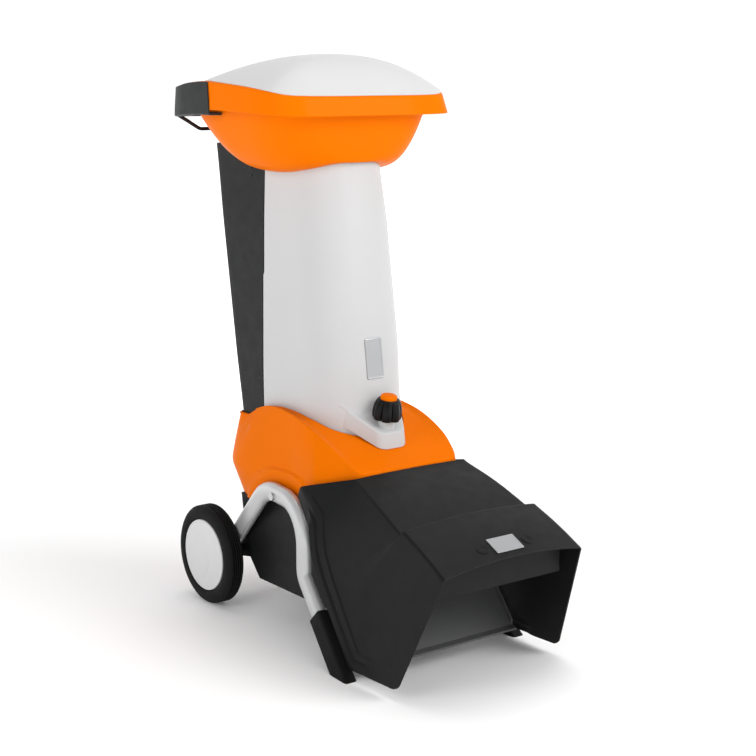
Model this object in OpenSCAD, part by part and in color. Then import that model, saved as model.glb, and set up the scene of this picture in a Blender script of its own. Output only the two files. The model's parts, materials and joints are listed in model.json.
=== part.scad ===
// Garden shredder on two wheels and two bent tube legs, with a tilting feed column
// and a lidded hopper. Front is -Y, the ground is z = 0, units are millimetres.

/* [Stance] */
// Radius of the wheels over the tyre
wheel_r = 110; // [104:1:116]
// Distance from the axle forward to the front edge of the chute hood
hood_reach = 808; // [790:1:830]
// Gap between a leg and the tyre beside it, at the axle
wheel_gap = 13; // [11:1:19]

/* [Wheels] */
// Width of a tyre
tyre_w = 39; // [37:1:40]
// Radius of the seat between rim and tyre
rim_r = 80; // [74:1:84]
// Radius of the axle rod
axle_r = 7; // [6:0.5:8]
// Running clearance of every turning fit, on the radius
run_fit = 0.06; // [0.04:0.01:0.09]
// Depth of the tread grooves
tread_depth = 4; // [2:0.5:6]

/* [Legs] */
// Thickness of a leg tube across its plane
leg_w = 24; // [20:1:26]
// Thickness of a leg tube in its plane
leg_t = 40; // [36:1:42]
// How much further from the centre plane a foot stands than the rear end of its leg
leg_splay = 78; // [72:1:84]
// How far the inner face of a leg lies inside the side of the lower housing at the axle
leg_set_in = 10; // [9:1:11]
// Distance of the feet ahead of the axle
foot_ahead = 551; // [541:1:561]
// Distance of the upright part of a leg ahead of the axle
leg_front = 385; // [381:1:389]
// Height of the flat top of a leg, on its centre line
leg_top_z = 303; // [301:1:305]
// Distance of the rear end of that flat top ahead of the axle
leg_rear = 210; // [206:1:214]
// Height of the lower bend of a leg
leg_knee_z = 160; // [150:1:170]
// Length of the plastic foot over the tube end
foot_len = 140; // [110:1:150]
// Wall of the plastic foot
foot_wall = 2.5; // [2:0.1:3.5]

/* [Tub] */
// Outer width of the lower housing
tub_w = 268; // [264:1:270]
// Height of the floor of the lower housing
tub_floor_z = 77; // [74:1:80]
// Height of the upper edge of the lower housing
tub_top_z = 322; // [318:1:326]
// Wall thickness of the plastic mouldings
wall = 4; // [3:0.5:4.5]

/* [Cutter] */
// Distance of the motor shaft ahead of the axle
shaft_ahead = 215; // [211:1:219]
// Radius of the motor shaft
shaft_r = 10; // [9:0.5:11]
// Radius of the motor housing
motor_r = 74; // [70:1:80]
// Height of the top face of the motor plate
plate_z = 250; // [248:1:252]
// Running gap between the cutting disc and the chamber ring
disc_gap = 8; // [5:1:12]
// Wall of the chamber ring
ring_wall = 4; // [3:0.5:5]
// Gap between the chamber ring and the wall of the lower housing
ring_gap = 2; // [1:0.5:3]
// Height of the top face of the cutting disc
disc_z = 300; // [298:1:302]

/* [Cover] */
// Distance of the front edge of the cover ahead of the axle
cover_front = 488; // [484:1:492]
// Height of the cover crease beside the column
crease_z = 470; // [466:1:472]
// Height of the front edge of the cover
cover_front_z = 379; // [377:1:381]

/* [Chute] */
// Length of the hood from its step to its front edge
hood_len = 137; // [128:1:148]
// Height of the hood step at the crease
kink_z = 307; // [303:1:311]
// Height of the hood front corners
hood_front_z = 257; // [250:1:264]
// How much wider than the cover's front corners the hood is at its front edge, on each side
hood_flare = 40; // [37:1:44]
// Distance of the side wall toe ahead of the axle
toe_reach = 702; // [690:1:715]
// Height of the lower edge of the side walls
toe_z = 23; // [18:1:30]
// Rise of the hood above its side creases at the front edge
hood_crown = 16; // [12:1:20]

/* [Column] */
// How far the column's foot is set in from the side of the lower housing
col_set_in = 24; // [23:1:26]
// How much narrower the column is at its top, on each side
col_taper = 8; // [5:1:11]
// Height of the lower edge of the column
col_z0 = 400; // [398:1:402]
// Height of the upper edge of the column
col_z1 = 1008; // [1004:1:1010]
// Distance of the seam between the column shells ahead of the axle
seam_ahead = 117; // [112:1:122]
// Height of the hinge the column tilts on
tilt_z = 454; // [452:1:456]
// Distance of the column hinge behind the axle
tilt_behind = 10; // [9:1:12]

/* [Hopper] */
// Half width of the hopper rim at its lower edge
rim_half_w = 230; // [226:1:233]
// Half depth of the hopper rim at its lower edge
rim_half_d = 224; // [220:1:228]
// Distance of the hopper centre ahead of the axle
bowl_ahead = 145; // [143:1:147]
// Height of the rim lower edge at the front
rim_low_z = 1068; // [1064:1:1072]
// Height of the rim upper edge at the front
rim_top_z = 1112; // [1108:1:1116]
// Height of the top of the lid
lid_top_z = 1196; // [1185:1:1205]
// Thickness of the hopper and lid walls
hopper_wall = 4; // [3:0.5:5]
// Diameter of the wire bail
bail_d = 8; // [6:0.5:9]

/* [Controls] */
// Radius of the lock knob
knob_r = 30; // [26:1:33]
// Radius of the lock stud
stud_r = 5; // [4:0.5:6]
// Travel of the lock stud
lock_travel = 12; // [10:1:13]
// Radius of the push buttons
button_r = 12; // [10:0.5:14]
// Travel of the push buttons
button_travel = 4; // [3:0.5:4]

/* [Node] */
// Sub-part to draw, or all

/* [Hidden] */
$fn = 64;
axle_z = wheel_r;
axle_y = (hood_reach - wheel_r) / 2;
gap = 0.3;
leg_axle_x = tub_w / 2 + leg_w / 2 - leg_set_in;
foot_x = leg_axle_x + leg_splay;
wheel_face_x = leg_axle_x + leg_w / 2 + wheel_gap + tyre_w;
col_half_w = tub_w / 2 - col_set_in;
col_top_half_w = col_half_w - col_taper;
kink_reach = hood_reach - hood_len;
chamber_r = tub_w / 2 - wall - ring_gap;
disc_r = chamber_r - ring_wall - disc_gap;
orange = [0.93, 0.42, 0.03];
dark = [0.18, 0.18, 0.19];
black = [0.08, 0.08, 0.09];
pale = [0.86, 0.86, 0.85];
steel = [0.62, 0.63, 0.64];
silver = [0.70, 0.71, 0.72];

// General shapes

function mix(a, b, t) = a + (b - a) * t;
function ease(t) = let(u = max(0, min(1, t))) u * u * (3 - 2 * u);
function spow(v, e) = sign(v) * pow(abs(v), e);
function unit(v) = v / norm(v);
function quad(a, b, c, d) = [[a, b, c], [a, c, d]];

// Point of a squared oval: half width a, reach f ahead and r behind the centre (0, -c), squareness n
function oval(t, a, f, r, c, n) =
  [a * spow(cos(t), 2 / n), -c - (sin(t) > 0 ? f : r) * spow(sin(t), 2 / n)];
// Radius of the same oval in direction t from its centre
function oval_r(t, a, f, r, n) =
  pow(pow(abs(cos(t)) / a, n) + pow(abs(sin(t)) / (sin(t) > 0 ? f : r), n), -1 / n);

// Points along a path with every inner corner bent to its radius
function bend_at(a, b, c, r, n) =
  let(u = unit(b - a), v = unit(c - b), ang = acos(max(-1, min(1, u * v))), w = unit(v - u * (u * v)),
    cut = r * tan(ang / 2))
  [for (k = [0 : n]) b - u * cut + r * (sin(ang * k / n) * u + (1 - cos(ang * k / n)) * w)];
function bent(p, radii, n) =
  [p[0], for (i = [1 : len(p) - 2]) each bend_at(p[i - 1], p[i], p[i + 1], radii[i - 1], n), p[len(p) - 1]];

// Flat-oval cross sections along a path
function tube_rings(p, w, t, n, e) = [for (i = [0 : len(p) - 1])
  let(d = unit(p[min(i + 1, len(p) - 1)] - p[max(i - 1, 0)]), l = unit([1, 0, 0] - d * d[0]), m = cross(d, l))
  [for (k = [0 : n - 1]) let(a = 360 * k / n)
    p[i] + l * (w / 2) * spow(cos(a), e) + m * (t / 2) * spow(sin(a), e)]];

// Solid through closed convex rings, closed at both ends
module loft(rings) {
  rows = len(rings);
  cols = len(rings[0]);
  faces = concat(
    [for (j = [0 : rows - 2], i = [0 : cols - 1])
      each quad(j * cols + i, (j + 1) * cols + i, (j + 1) * cols + (i + 1) % cols, j * cols + (i + 1) % cols)],
    [for (i = [1 : cols - 2]) [0, i, i + 1]],
    [for (i = [1 : cols - 2]) let(b = (rows - 1) * cols) [b, b + i + 1, b + i]]);
  polyhedron(points = [for (r = rings) each r], faces = faces, convexity = 6);
}

// Solid between two grids of points; wrap joins the last column to the first
module shell(outer, inner, wrap = false) {
  rows = len(outer);
  cols = len(outer[0]);
  half = rows * cols;
  last = wrap ? cols - 1 : cols - 2;
  sides = [for (j = [0 : rows - 2]) each concat(
    quad(j * cols, half + j * cols, half + (j + 1) * cols, (j + 1) * cols),
    quad(j * cols + cols - 1, (j + 1) * cols + cols - 1, half + (j + 1) * cols + cols - 1,
      half + j * cols + cols - 1))];
  ends = [for (i = [0 : last]) let(k = (i + 1) % cols, b = half - cols) each concat(
    quad(i, k, half + k, half + i),
    quad(b + i, half + b + i, half + b + k, b + k))];
  skins = [for (j = [0 : rows - 2], i = [0 : last]) let(k = (i + 1) % cols, a = j * cols, b = a + cols)
    each concat(quad(a + i, b + i, b + k, a + k),
      quad(half + a + i, half + a + k, half + b + k, half + b + i))];
  polyhedron(points = concat([for (r = outer) each r], [for (r = inner) each r]),
    faces = wrap ? concat(skins, ends) : concat(skins, ends, sides), convexity = 8);
}

// Shape drawn in side view (y, z), spread evenly about the centre plane
module across(w) {
  translate([-w / 2, 0, 0])
    rotate([90, 0, 90])
      linear_extrude(w)
        children();
}

// Rod along X between two positions
module rod_x(x0, x1, r) {
  translate([x0, 0, 0])
    rotate([0, 90, 0])
      cylinder(h = x1 - x0, r = r);
}

module both_sides() {
  children();
  mirror([1, 0, 0])
    children();
}

// Every sub-part is drawn with the axle at y = 0 and moved to the shared frame here
module placed() {
  translate([0, axle_y, 0])
    children();
}

// Lower housing

tub_rear = 48;
tub_front = 416;
tub_step = 165;
tub_step_z = plate_z + 6;
motor_post_x = tub_w / 2 - 22;
motor_posts = [shaft_ahead - 105, shaft_ahead + 110];

function tub_side(o) = [[-(tub_rear + o), tub_top_z + o], [-(80 + o), 128], [-(128 + o * 0.5), tub_floor_z + o],
  [-(396 - o * 0.5), tub_floor_z + o], [-(tub_front - o), 100], [-(tub_front - o), tub_top_z + o]];

module base_tub() {
  color(dark)
    difference() {
      union() {
        difference() {
          across(tub_w)
            polygon(tub_side(0));
          across(tub_w - 2 * wall)
            polygon(tub_side(wall));
        }
        for (a = motor_posts)
          both_sides()
            translate([motor_post_x, -a, tub_floor_z + wall / 2])
              cylinder(h = plate_z - 6 - tub_floor_z - wall / 2, r = 9);
      }
      translate([-tub_w, -tub_front - 50, ramp_lip_z - 5 - gap])
        cube([2 * tub_w, tub_front + 50 - chamber_front + 1, 200]);
      translate([-tub_w, -tub_step, tub_step_z])
        cube([2 * tub_w, 200, 200]);
    }
}

// Discharge ramp with a flat lip at its upper end and a folded foot

ramp_lip_z = 290;
ramp_half_w = leg_axle_x + 29;
chamber_front = shaft_ahead + chamber_r;

module discharge_ramp() {
  color(dark)
    union() {
      across(2 * ramp_half_w)
        polygon([[-chamber_front - 2, ramp_lip_z - 5], [-chamber_front - 2, ramp_lip_z - 1],
          [-tub_front - 2, ramp_lip_z - 1], [-619, 48], [-631, 44], [-631, 40], [-616, 42],
          [-tub_front, ramp_lip_z - 5]]);
      both_sides()
        translate([ramp_half_w - 4, 0, 0])
          rotate([90, 0, 90])
            linear_extrude(4)
              polygon([[-tub_front - 2, ramp_lip_z - 5], [-619, 46], [-619, 60], [-tub_front - 12, ramp_lip_z + 8]]);
    }
}

// Bent tube legs and their plastic feet

function leg_x(ahead) = mix(leg_axle_x, foot_x, ahead / foot_ahead);
function leg_at(ahead, z) = [leg_x(ahead), -ahead, z];
leg_tail = 16;
leg_slope = (leg_top_z - axle_z) / leg_rear;
leg_path = bent([leg_at(foot_ahead, 0), leg_at(leg_front, leg_knee_z), leg_at(leg_front, leg_top_z),
  leg_at(leg_rear, leg_top_z), leg_at(-leg_tail, axle_z - leg_tail * leg_slope)], [60, 85, 120], 7);
foot_dir = unit(leg_at(leg_front, leg_knee_z) - leg_at(foot_ahead, 0));
foot_base = leg_at(foot_ahead, 0);
leg_bolt_ahead = 262;
leg_bolt_z = leg_top_z - 5;

module leg_right() {
  color(silver)
    difference() {
      loft(tube_rings(leg_path, leg_w, leg_t, 16, 1));
      translate([0, 0, -44])
        cube([900, 1600, 100], center = true);
      translate([0, 0, axle_z])
        rod_x(0, 300, axle_r + run_fit);
      translate([0, -leg_bolt_ahead, leg_bolt_z])
        rod_x(0, 300, 4.2);
    }
}

module leg_left() {
  mirror([1, 0, 0])
    leg_right();
}

module foot_right() {
  foot_path = [foot_base - foot_dir * 30, foot_base, foot_base + foot_dir * foot_len];
  bore_path = [foot_base - foot_dir * 30, foot_base, foot_base + foot_dir * (foot_len + 5)];
  color(dark)
    difference() {
      loft(tube_rings(foot_path, leg_w + 2 * foot_wall, leg_t + 2 * foot_wall, 16, 0.55));
      intersection() {
        loft(tube_rings(bore_path, leg_w + gap, leg_t + gap, 16, 1));
        translate([0, -foot_ahead, 206])
          cube([900, 600, 400], center = true);
      }
      translate([0, -foot_ahead, -50])
        cube([900, 600, 100], center = true);
    }
}

module foot_left() {
  mirror([1, 0, 0])
    foot_right();
}

module leg_bolts() {
  bolt_leg_x = leg_x(leg_bolt_ahead);
  color(steel)
    both_sides()
      translate([0, -leg_bolt_ahead, leg_bolt_z]) {
        rod_x(tub_w / 2, bolt_leg_x + leg_w / 2 + 2, 4);
        rod_x(bolt_leg_x + leg_w / 2 + 1, bolt_leg_x + leg_w / 2 + 5, 8);
        rod_x(tub_w / 2, bolt_leg_x - leg_w / 2 - 1.5, 8);
      }
}

// Axle, its brackets on the housing and the retaining clips

rim_in = wheel_face_x - tyre_w + 2;
rim_out = wheel_face_x - 10;
axle_end = rim_out + 5;

module axle() {
  color(steel)
    translate([0, 0, axle_z])
      rod_x(-axle_end, axle_end, axle_r);
}

module axle_brackets() {
  color(black)
    both_sides()
      translate([leg_axle_x - leg_w / 2 - 30, 0, 0])
        rotate([90, 0, 90])
          linear_extrude(24)
            difference() {
              union() {
                polygon([[-68.5, 128 + 62], [-80, 128], [-94, 113], [0, axle_z - 15], [0, axle_z + 15]]);
                translate([0, axle_z])
                  circle(r = 15);
              }
              translate([0, axle_z])
                circle(r = axle_r + run_fit);
            }
}

module axle_clips() {
  color(steel)
    both_sides()
      translate([0, 0, axle_z])
        difference() {
          rod_x(rim_out + 0.3, rim_out + 2.3, axle_r + 5);
          rod_x(rim_out, rim_out + 4, axle_r + run_fit);
        }
}

// Wheels, drawn about the axle on the right

module spun_x() {
  translate([0, 0, axle_z])
    rotate([90, 0, 90])
      rotate_extrude($fn = 96)
        children();
}

module tyre_right() {
  in = wheel_face_x - tyre_w;
  pitch = tyre_w / 5;
  color(black)
    spun_x()
      difference() {
        polygon([[rim_r, in + 3], [rim_r + 8, in], [wheel_r - 9, in], [wheel_r - 2, in + 4], [wheel_r, in + 9],
          [wheel_r, wheel_face_x - 9], [wheel_r - 2, wheel_face_x - 4], [wheel_r - 9, wheel_face_x],
          [rim_r + 8, wheel_face_x], [rim_r, wheel_face_x - 3]]);
        for (k = [1 : 4])
          translate([wheel_r - tread_depth, in + k * pitch - 1.2])
            square([tread_depth + 2, 2.4]);
      }
}

module tyre_left() {
  mirror([1, 0, 0])
    tyre_right();
}

module rim_right() {
  color(dark)
    spun_x()
      polygon([[axle_r + run_fit, rim_in], [20, rim_in], [22, rim_in + 12], [rim_r - 7, rim_in + 12], [rim_r - 6, rim_in],
        [rim_r - gap, rim_in], [rim_r - gap, wheel_face_x - 4], [rim_r - 6, wheel_face_x - 4],
        [rim_r - 7, rim_in + 17], [22, rim_in + 17], [20, rim_out], [axle_r + run_fit, rim_out]]);
}

module rim_left() {
  mirror([1, 0, 0])
    rim_right();
}

module hub_cap_right() {
  color(pale)
    spun_x()
      polygon([[0, wheel_face_x - 1], [40, wheel_face_x - 1.5], [rim_r - 9, wheel_face_x - 4],
        [rim_r - 9, wheel_face_x - 14], [rim_r - 7.2, wheel_face_x - 14], [rim_r - 7.2, wheel_face_x - 4],
        [rim_r - 1.5, wheel_face_x - 4], [rim_r - 1.5, wheel_face_x - 2.5], [60, wheel_face_x + 1.5],
        [0, wheel_face_x + 2.5]]);
}

module hub_cap_left() {
  mirror([1, 0, 0])
    hub_cap_right();
}

// Motor under its plate, and the cutting chamber above it

bearing_r = shaft_r + 8;
can_z0 = tub_floor_z + wall;
can_z1 = plate_z - 6;

module at_shaft() {
  translate([0, -shaft_ahead, 0])
    children();
}

module motor_housing() {
  color(steel)
    at_shaft()
      difference() {
        union() {
          translate([0, 0, can_z0])
            cylinder(h = can_z1 - can_z0, r = motor_r);
          translate([0, 0, can_z1 - 8])
            cylinder(h = 8, r = motor_r + 12);
        }
        translate([0, 0, can_z0 + 12])
          cylinder(h = can_z1 - can_z0 - 24, r = motor_r - 18);
        translate([0, 0, can_z0 + 4])
          cylinder(h = 9, r = bearing_r);
        translate([0, 0, can_z1 - 13])
          cylinder(h = 9, r = bearing_r);
        translate([0, 0, can_z1 - 6])
          cylinder(h = 8, r = shaft_r + 3);
      }
}

module motor_bearings() {
  color(silver)
    at_shaft()
      for (z = [can_z0 + 4, can_z1 - 12])
        translate([0, 0, z])
          difference() {
            cylinder(h = 8, r = bearing_r - 0.02);
            translate([0, 0, -1])
              cylinder(h = 10, r = shaft_r + run_fit);
          }
}

module motor_plate() {
  color(silver)
    difference() {
      translate([-(tub_w / 2 - wall - gap), -(tub_front - wall - gap), plate_z - 6])
        cube([tub_w - 2 * (wall + gap), tub_front - wall - gap - 66, 6]);
      at_shaft()
        translate([0, 0, plate_z - 10])
          cylinder(h = 20, r = shaft_r + 8);
    }
}

module motor_capacitor() {
  color(black)
    translate([-40, -(shaft_ahead + 145), can_z0])
      union() {
        cylinder(h = 90, r = 20);
        translate([0, 0, 90])
          cylinder(h = 6, r = 16);
      }
}

module motor_shaft() {
  color(steel)
    at_shaft() {
      translate([0, 0, can_z0 + 5])
        cylinder(h = disc_z + 28 - can_z0 - 5, r = shaft_r);
      translate([0, 0, can_z1 + 2])
        cylinder(h = disc_z - 8 - can_z1 - 2, r = shaft_r + 4);
    }
}

module rotor_core() {
  color(steel)
    at_shaft()
      translate([0, 0, can_z0 + 42])
        difference() {
          cylinder(h = 92, r = motor_r - 20);
          translate([0, 0, -1])
            cylinder(h = 94, r = shaft_r);
        }
}

module cooling_fan() {
  color(black)
    at_shaft()
      translate([0, 0, can_z0 + 16])
        difference() {
          union() {
            cylinder(h = 3, r = motor_r - 22);
            cylinder(h = 18, r = shaft_r + 6);
            for (k = [0 : 7])
              rotate(45 * k)
                translate([shaft_r + 4, -1.5, 2])
                  cube([motor_r - 38, 3, 14]);
          }
          translate([0, 0, -1])
            cylinder(h = 24, r = shaft_r);
        }
}

module blade_disc() {
  color(silver)
    at_shaft()
      difference() {
        union() {
          translate([0, 0, disc_z - 8])
            cylinder(h = 8, r = disc_r);
          translate([0, 0, disc_z - 1])
            cylinder(h = 6, r = 24);
        }
        translate([0, 0, disc_z - 20])
          cylinder(h = 40, r = shaft_r);
        for (k = [0 : 1])
          rotate(180 * k)
            translate([34, 20, disc_z - 20])
              cube([disc_r - 44, 16, 40]);
      }
}

module disc_blades() {
  color(steel)
    at_shaft()
      for (k = [0 : 1])
        rotate(180 * k)
          difference() {
            translate([32, -8, disc_z])
              cube([disc_r - 40, 28, 5]);
            for (x = [50, disc_r - 28])
              translate([x, 4, disc_z - 5])
                cylinder(h = 20, r = 3.2);
          }
}

module disc_nut() {
  color(steel)
    at_shaft()
      translate([0, 0, disc_z + 5])
        difference() {
          cylinder(h = 12, r = shaft_r + 7, $fn = 6);
          translate([0, 0, -1])
            cylinder(h = 14, r = shaft_r);
        }
}

module chamber_ring() {
  color(silver)
    at_shaft()
      difference() {
        translate([0, 0, plate_z])
          cylinder(h = 90, r = chamber_r);
        translate([0, 0, plate_z - 1])
          cylinder(h = 92, r = chamber_r - ring_wall);
        translate([-92, -chamber_r - 10, ramp_lip_z - 1])
          cube([184, 100, 100]);
      }
}

module counter_blade() {
  color(steel)
    at_shaft()
      rotate(150)
        translate([40, -10, disc_z + 6.5])
          cube([chamber_r - ring_wall - 40 - 0.6, 20, 8]);
}

// Funnel from the column foot to the cutting chamber

throat_z0 = plate_z + 90;
throat_z1 = col_z0 - 8;

function throat_point(t, r, z, u) = let(
  a = mix(r, oval_r(t, col_half_w - 3, 155, 178, 4) + r - 102, u)) [a * cos(t), -shaft_ahead - a * sin(t), z];

module feed_throat() {
  color(dark) {
    turns = [for (k = [0 : 47]) -7.5 * k];
    shell([[for (t = turns) throat_point(t, chamber_r - 1, throat_z0 + 4, 0)],
      [for (t = turns) throat_point(t, chamber_r - 22, throat_z0 + 4, 0)],
      [for (t = turns) throat_point(t, 104, throat_z1, 1)]],
      [[for (t = turns) throat_point(t, chamber_r - 1, throat_z0, 0)],
      [for (t = turns) throat_point(t, chamber_r - 27, throat_z0, 0)],
      [for (t = turns) throat_point(t, 100, throat_z1, 1)]], true);
  }
}

// Column sections by height

function col_a(z) = mix(col_half_w, col_top_half_w, (z - 430) / 530);
function col_front(z) = 354 - 0.135 * (z - 625) + 0.0012 * pow(max(0, 560 - max(z, 478)), 2);
function col_rear(z) = 24 - rear_run * (z - 430);
rear_run = 0.185;
col_b = 118;
col_steps = 14;

// Outline of the whole column at a height, grown by o, from the left seam round the front and back
function col_front_line(z, o, seam) = let(a = col_a(z) + o, f = col_front(z) + o, c = f - col_b - o)
  [[-a, -seam, z], for (k = [0 : 2 * col_steps]) let(t = 180 - 90 * k / col_steps)
    [a * spow(cos(t), 0.9), -c - (col_b + o) * spow(sin(t), 0.9), z], [a, -seam, z]];
function col_rear_half(z, o, s, r) = let(a = col_a(z) + o, b = col_rear(z) - o)
  [for (k = [0 : 3]) let(t = 30 * k) [s * (a - r + r * cos(t)), -(b + r - r * sin(t)), z]];
function turned(p) = [for (i = [len(p) - 1 : -1 : 0]) p[i]];

col_levels = [col_z0, 440, 478, 520, 560, 640, 728, 744, 850, 958, col_z1];
function seam_at(z) = seam_ahead + (z > 740 && z < 990 ? 3 : 0);

tongue_z0 = 409;
tongue_z1 = 453;
tongue_front = 424;
tip_r = 26;
seat_ahead = 350;
lock_ahead = 406;
lock_lean = 10;

module at_lock() {
  translate([0, -lock_ahead, tongue_z1])
    rotate([lock_lean, 0, 0])
      children();
}

module column_front() {
  color(pale)
    difference() {
      union() {
        shell([for (z = col_levels) col_front_line(z, 0, seam_at(z))],
          [for (z = col_levels) col_front_line(z, -wall, seam_at(z))]);
        difference() {
          translate([0, 0, tongue_z0])
            linear_extrude(tongue_z1 - tongue_z0) {
              polygon([[-64, -340], [64, -340], [46, -tongue_front + tip_r], [-46, -tongue_front + tip_r]]);
              translate([tip_r - 46, -tongue_front])
                square([92 - 2 * tip_r, 40]);
              for (s = [-1, 1])
                translate([(46 - tip_r) * s, -tongue_front + tip_r])
                  circle(r = tip_r);
            }
          translate([0, -seat_ahead, tongue_z1])
            rotate([lock_lean, 0, 0])
              translate([-100, -150, 0])
                cube([200, 300, 80]);
          loft([for (z = [col_z0 - 4, 440, 478, 520]) col_front_line(z, -wall / 2, 100)]);
        }
        at_lock()
          translate([0, 0, -16])
            cylinder(h = 28, r1 = 19, r2 = 18);
      }
      at_lock()
        translate([0, 0, -60])
          cylinder(h = 100, r = stud_r + run_fit);
      translate([-34, -tongue_front + 10, tongue_z0 - 30])
        cube([68, 36, 50]);
    }
}

tilt_y = tilt_behind;
ear_r = 11;
tilt_pin_r = 5;
lap = wall + gap;

module column_rear() {
  color(dark)
    difference() {
      union() {
        shell([for (z = turned(col_levels)) rear_loop(z, 0, lap)],
          [for (z = turned(col_levels)) rear_loop(z, -wall, lap + 3)]);
        across(2 * (col_top_half_w - wall))
          polygon([[-(col_rear(col_z1) + 62), col_z1 - 4], [-(col_rear(col_z1) + 2), col_z1 - 4],
            [-(col_rear(col_z1) + 2), col_z1], [-(col_rear(col_z1) + 62), col_z1]]);
        both_sides()
          translate([56, 0, 0])
            rotate([90, 0, 90])
              linear_extrude(10) {
                polygon([[-26, 425], [-14, 500], [tilt_y, tilt_z + ear_r], [tilt_y - ear_r, tilt_z - 4]]);
                translate([tilt_y, tilt_z])
                  circle(r = ear_r);
              }
      }
      translate([0, tilt_y, tilt_z])
        rod_x(-200, 200, tilt_pin_r + run_fit);
    }
}

// Closed run of the rear shell from the left lap round the back to the right lap
function rear_loop(z, o, lap_in) = let(a = col_a(z))
  concat([[-(a - lap_in), -(seam_ahead + 16), z], [-(a - lap_in), -(seam_ahead - 2), z],
    [-(a + o), -(seam_ahead - 3 - abs(o) / 2), z]],
    col_rear_half(z, o, -1, 14), turned(col_rear_half(z, o, 1, 14)),
    [[a + o, -(seam_ahead - 3 - abs(o) / 2), z], [a - lap_in, -(seam_ahead - 2), z],
    [a - lap_in, -(seam_ahead + 16), z]]);

module tilt_pin() {
  color(steel)
    translate([0, tilt_y, tilt_z])
      rod_x(-70, 70, tilt_pin_r);
}

// Flat wall that closes the feed tube in front of the wiring space
module feed_liner() {
  inset = wall + gap + 1.5;
  color(dark)
    shell([for (z = [col_z0 + 2, col_z1 - 6]) let(a = col_a(z) - inset, y = liner_y(z))
      [[-a, y, z], [a, y, z]]],
      [for (z = [col_z0 + 2, col_z1 - 6]) let(a = col_a(z) - inset, y = liner_y(z) + 3)
      [[-a, y, z], [a, y, z]]]);
}
function liner_y(z) = mix(-44, 4, (z - col_z0) / (col_z1 - col_z0));

// Screws in pairs along the rear shell, near the seam
module column_screws() {
  color(steel)
    both_sides()
      for (k = [0 : 4], d = [0, 18]) {
        z = 497 + 112 * k + d;
        a = col_a(z);
        translate([0, -(seam_ahead - mix(14, 50, (z - 483) / 467)), z])
          rod_x(a - 3, a + 1.5, 3);
      }
}

// Bare plate on the column front
module column_plate() {
  plate_mid = 583;
  lean = atan((col_front(542) - col_front(625)) / 83);
  color(silver)
    translate([0, -col_front(plate_mid) - 2, plate_mid])
      rotate([-lean, 0, 0])
        cube([42, 2.4, 83], center = true);
}

// Orange base cover: rings from the lower edge up to the opening round the column

hull_c = 230;
lock_boss_r = 17;

function crease_h(d) = crease_z - (d > 200 ? (crease_z - cover_front_z) / pow(cover_front - 200, 2.2) : 0.00215)
  * pow(max(abs(d - 200) - (d < 200 ? max(0, 65 - d) : 0), 0), d > 200 ? 2.2 : 2);
function hull_dir(k) = let(p = hole_line[k]) atan2(-(p[1] + hull_c), p[0]);
function hole_at(o) = let(z = 440) concat(col_front_line(tongue_z0 - 5, o, seam_ahead), col_rear_half(z, o, 1, 11 + o),
  turned(col_rear_half(z, o, -1, 11 + o)));
hole_line = hole_at(3.5);
front_n = len(col_front_line(440, 0, seam_ahead));
hull_n = len(hole_line);

function low_h(d) = lookup(d, [[0, 262], [60, 258], [110, 262], [180, 292], [240, 308], [373, 330], [430, 352], [cover_front, cover_front_z - 9]]);
// Beside the legs the cover follows them; ahead of them its flanks run in to the front corners
flank_d = 372;
corner_w = col_half_w + 18;
hood_half_w = corner_w + hood_flare;
function flank(d, w) = mix(w, corner_w, max(0, (d - flank_d) / (cover_front - flank_d)));
function low_w(d) = flank(d, leg_x(min(d, flank_d)) - leg_w / 2 - 4);
function mid_h(d) = lookup(d, [[0, 326], [100, 326], [240, 334], [373, 350], [430, 362], [cover_front, cover_front_z - 5]]);
function mid_w(d) = flank(d, max(col_half_w + 43, leg_x(min(d, flank_d)) - leg_w / 2 - 3.5));
function rim_w(d) = col_half_w + lookup(d, [[60, 12], [120, 12], [210, 14], [350, 25], [430, 23], [484, 17]]);

// Point of ring j of the cover in direction t, set in by o
function ring_xy(t, w, f, r, n, o) =
  let(q = oval_r(t, w - o, f - o, r - o, sin(t) > 0 ? 12 : n)) [q * cos(t), -hull_c - q * sin(t)];
function hull_xy(t, j, o) =
  let(g = ring_xy(t, 150, cover_front - hull_c, hull_c, 5, 0), d = -g[1], f = cover_front - hull_c)
  j == 0 ? ring_xy(t, low_w(d), f, hull_c - 20, 5, o) :
  j == 1 ? ring_xy(t, mid_w(d), f - 0.5, hull_c + 5, 5, o) :
  j == 2 ? ring_xy(t, mix(mid_w(d), rim_w(d), 0.45), f - 1, hull_c + 2, 5.5, o) :
  j == 3 ? ring_xy(t, rim_w(d), f - 2.5, hull_c - 6, 7, o) :
  ring_xy(t, mix(rim_w(d), col_a(440) + 3.5, 0.5), 436 - hull_c, hull_c - 10, 10, 0);
function dish(x, d) = ease((d - 330) / 40) * ease((86 - abs(x)) / 20);
function hull_h(x, d, j) =
  j == 0 ? low_h(d) : j == 1 ? mid_h(d) : j == 2 ? mix(mid_h(d), crease_h(d), 0.55) : j == 3 ? crease_h(d) :
  mix(crease_h(d) - 3, tongue_z0 - 4, dish(x, d));
// Behind the seam the upper rings follow the column; elsewhere they follow the ovals
function hull_point(k, j, o) = j < 3 || (j < 5 && k < front_n) ? hull_xy(hull_dir(k), j, o) :
  hole_at(j == 3 ? 9 - o : j == 4 ? 5.5 : 3.5)[k];
function hull_ring(j, o, drop) = [for (k = [0 : hull_n - 1]) let(p = hull_point(k, j, o))
  [p[0], p[1], hull_h(p[0], -p[1], j) - drop]];

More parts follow.
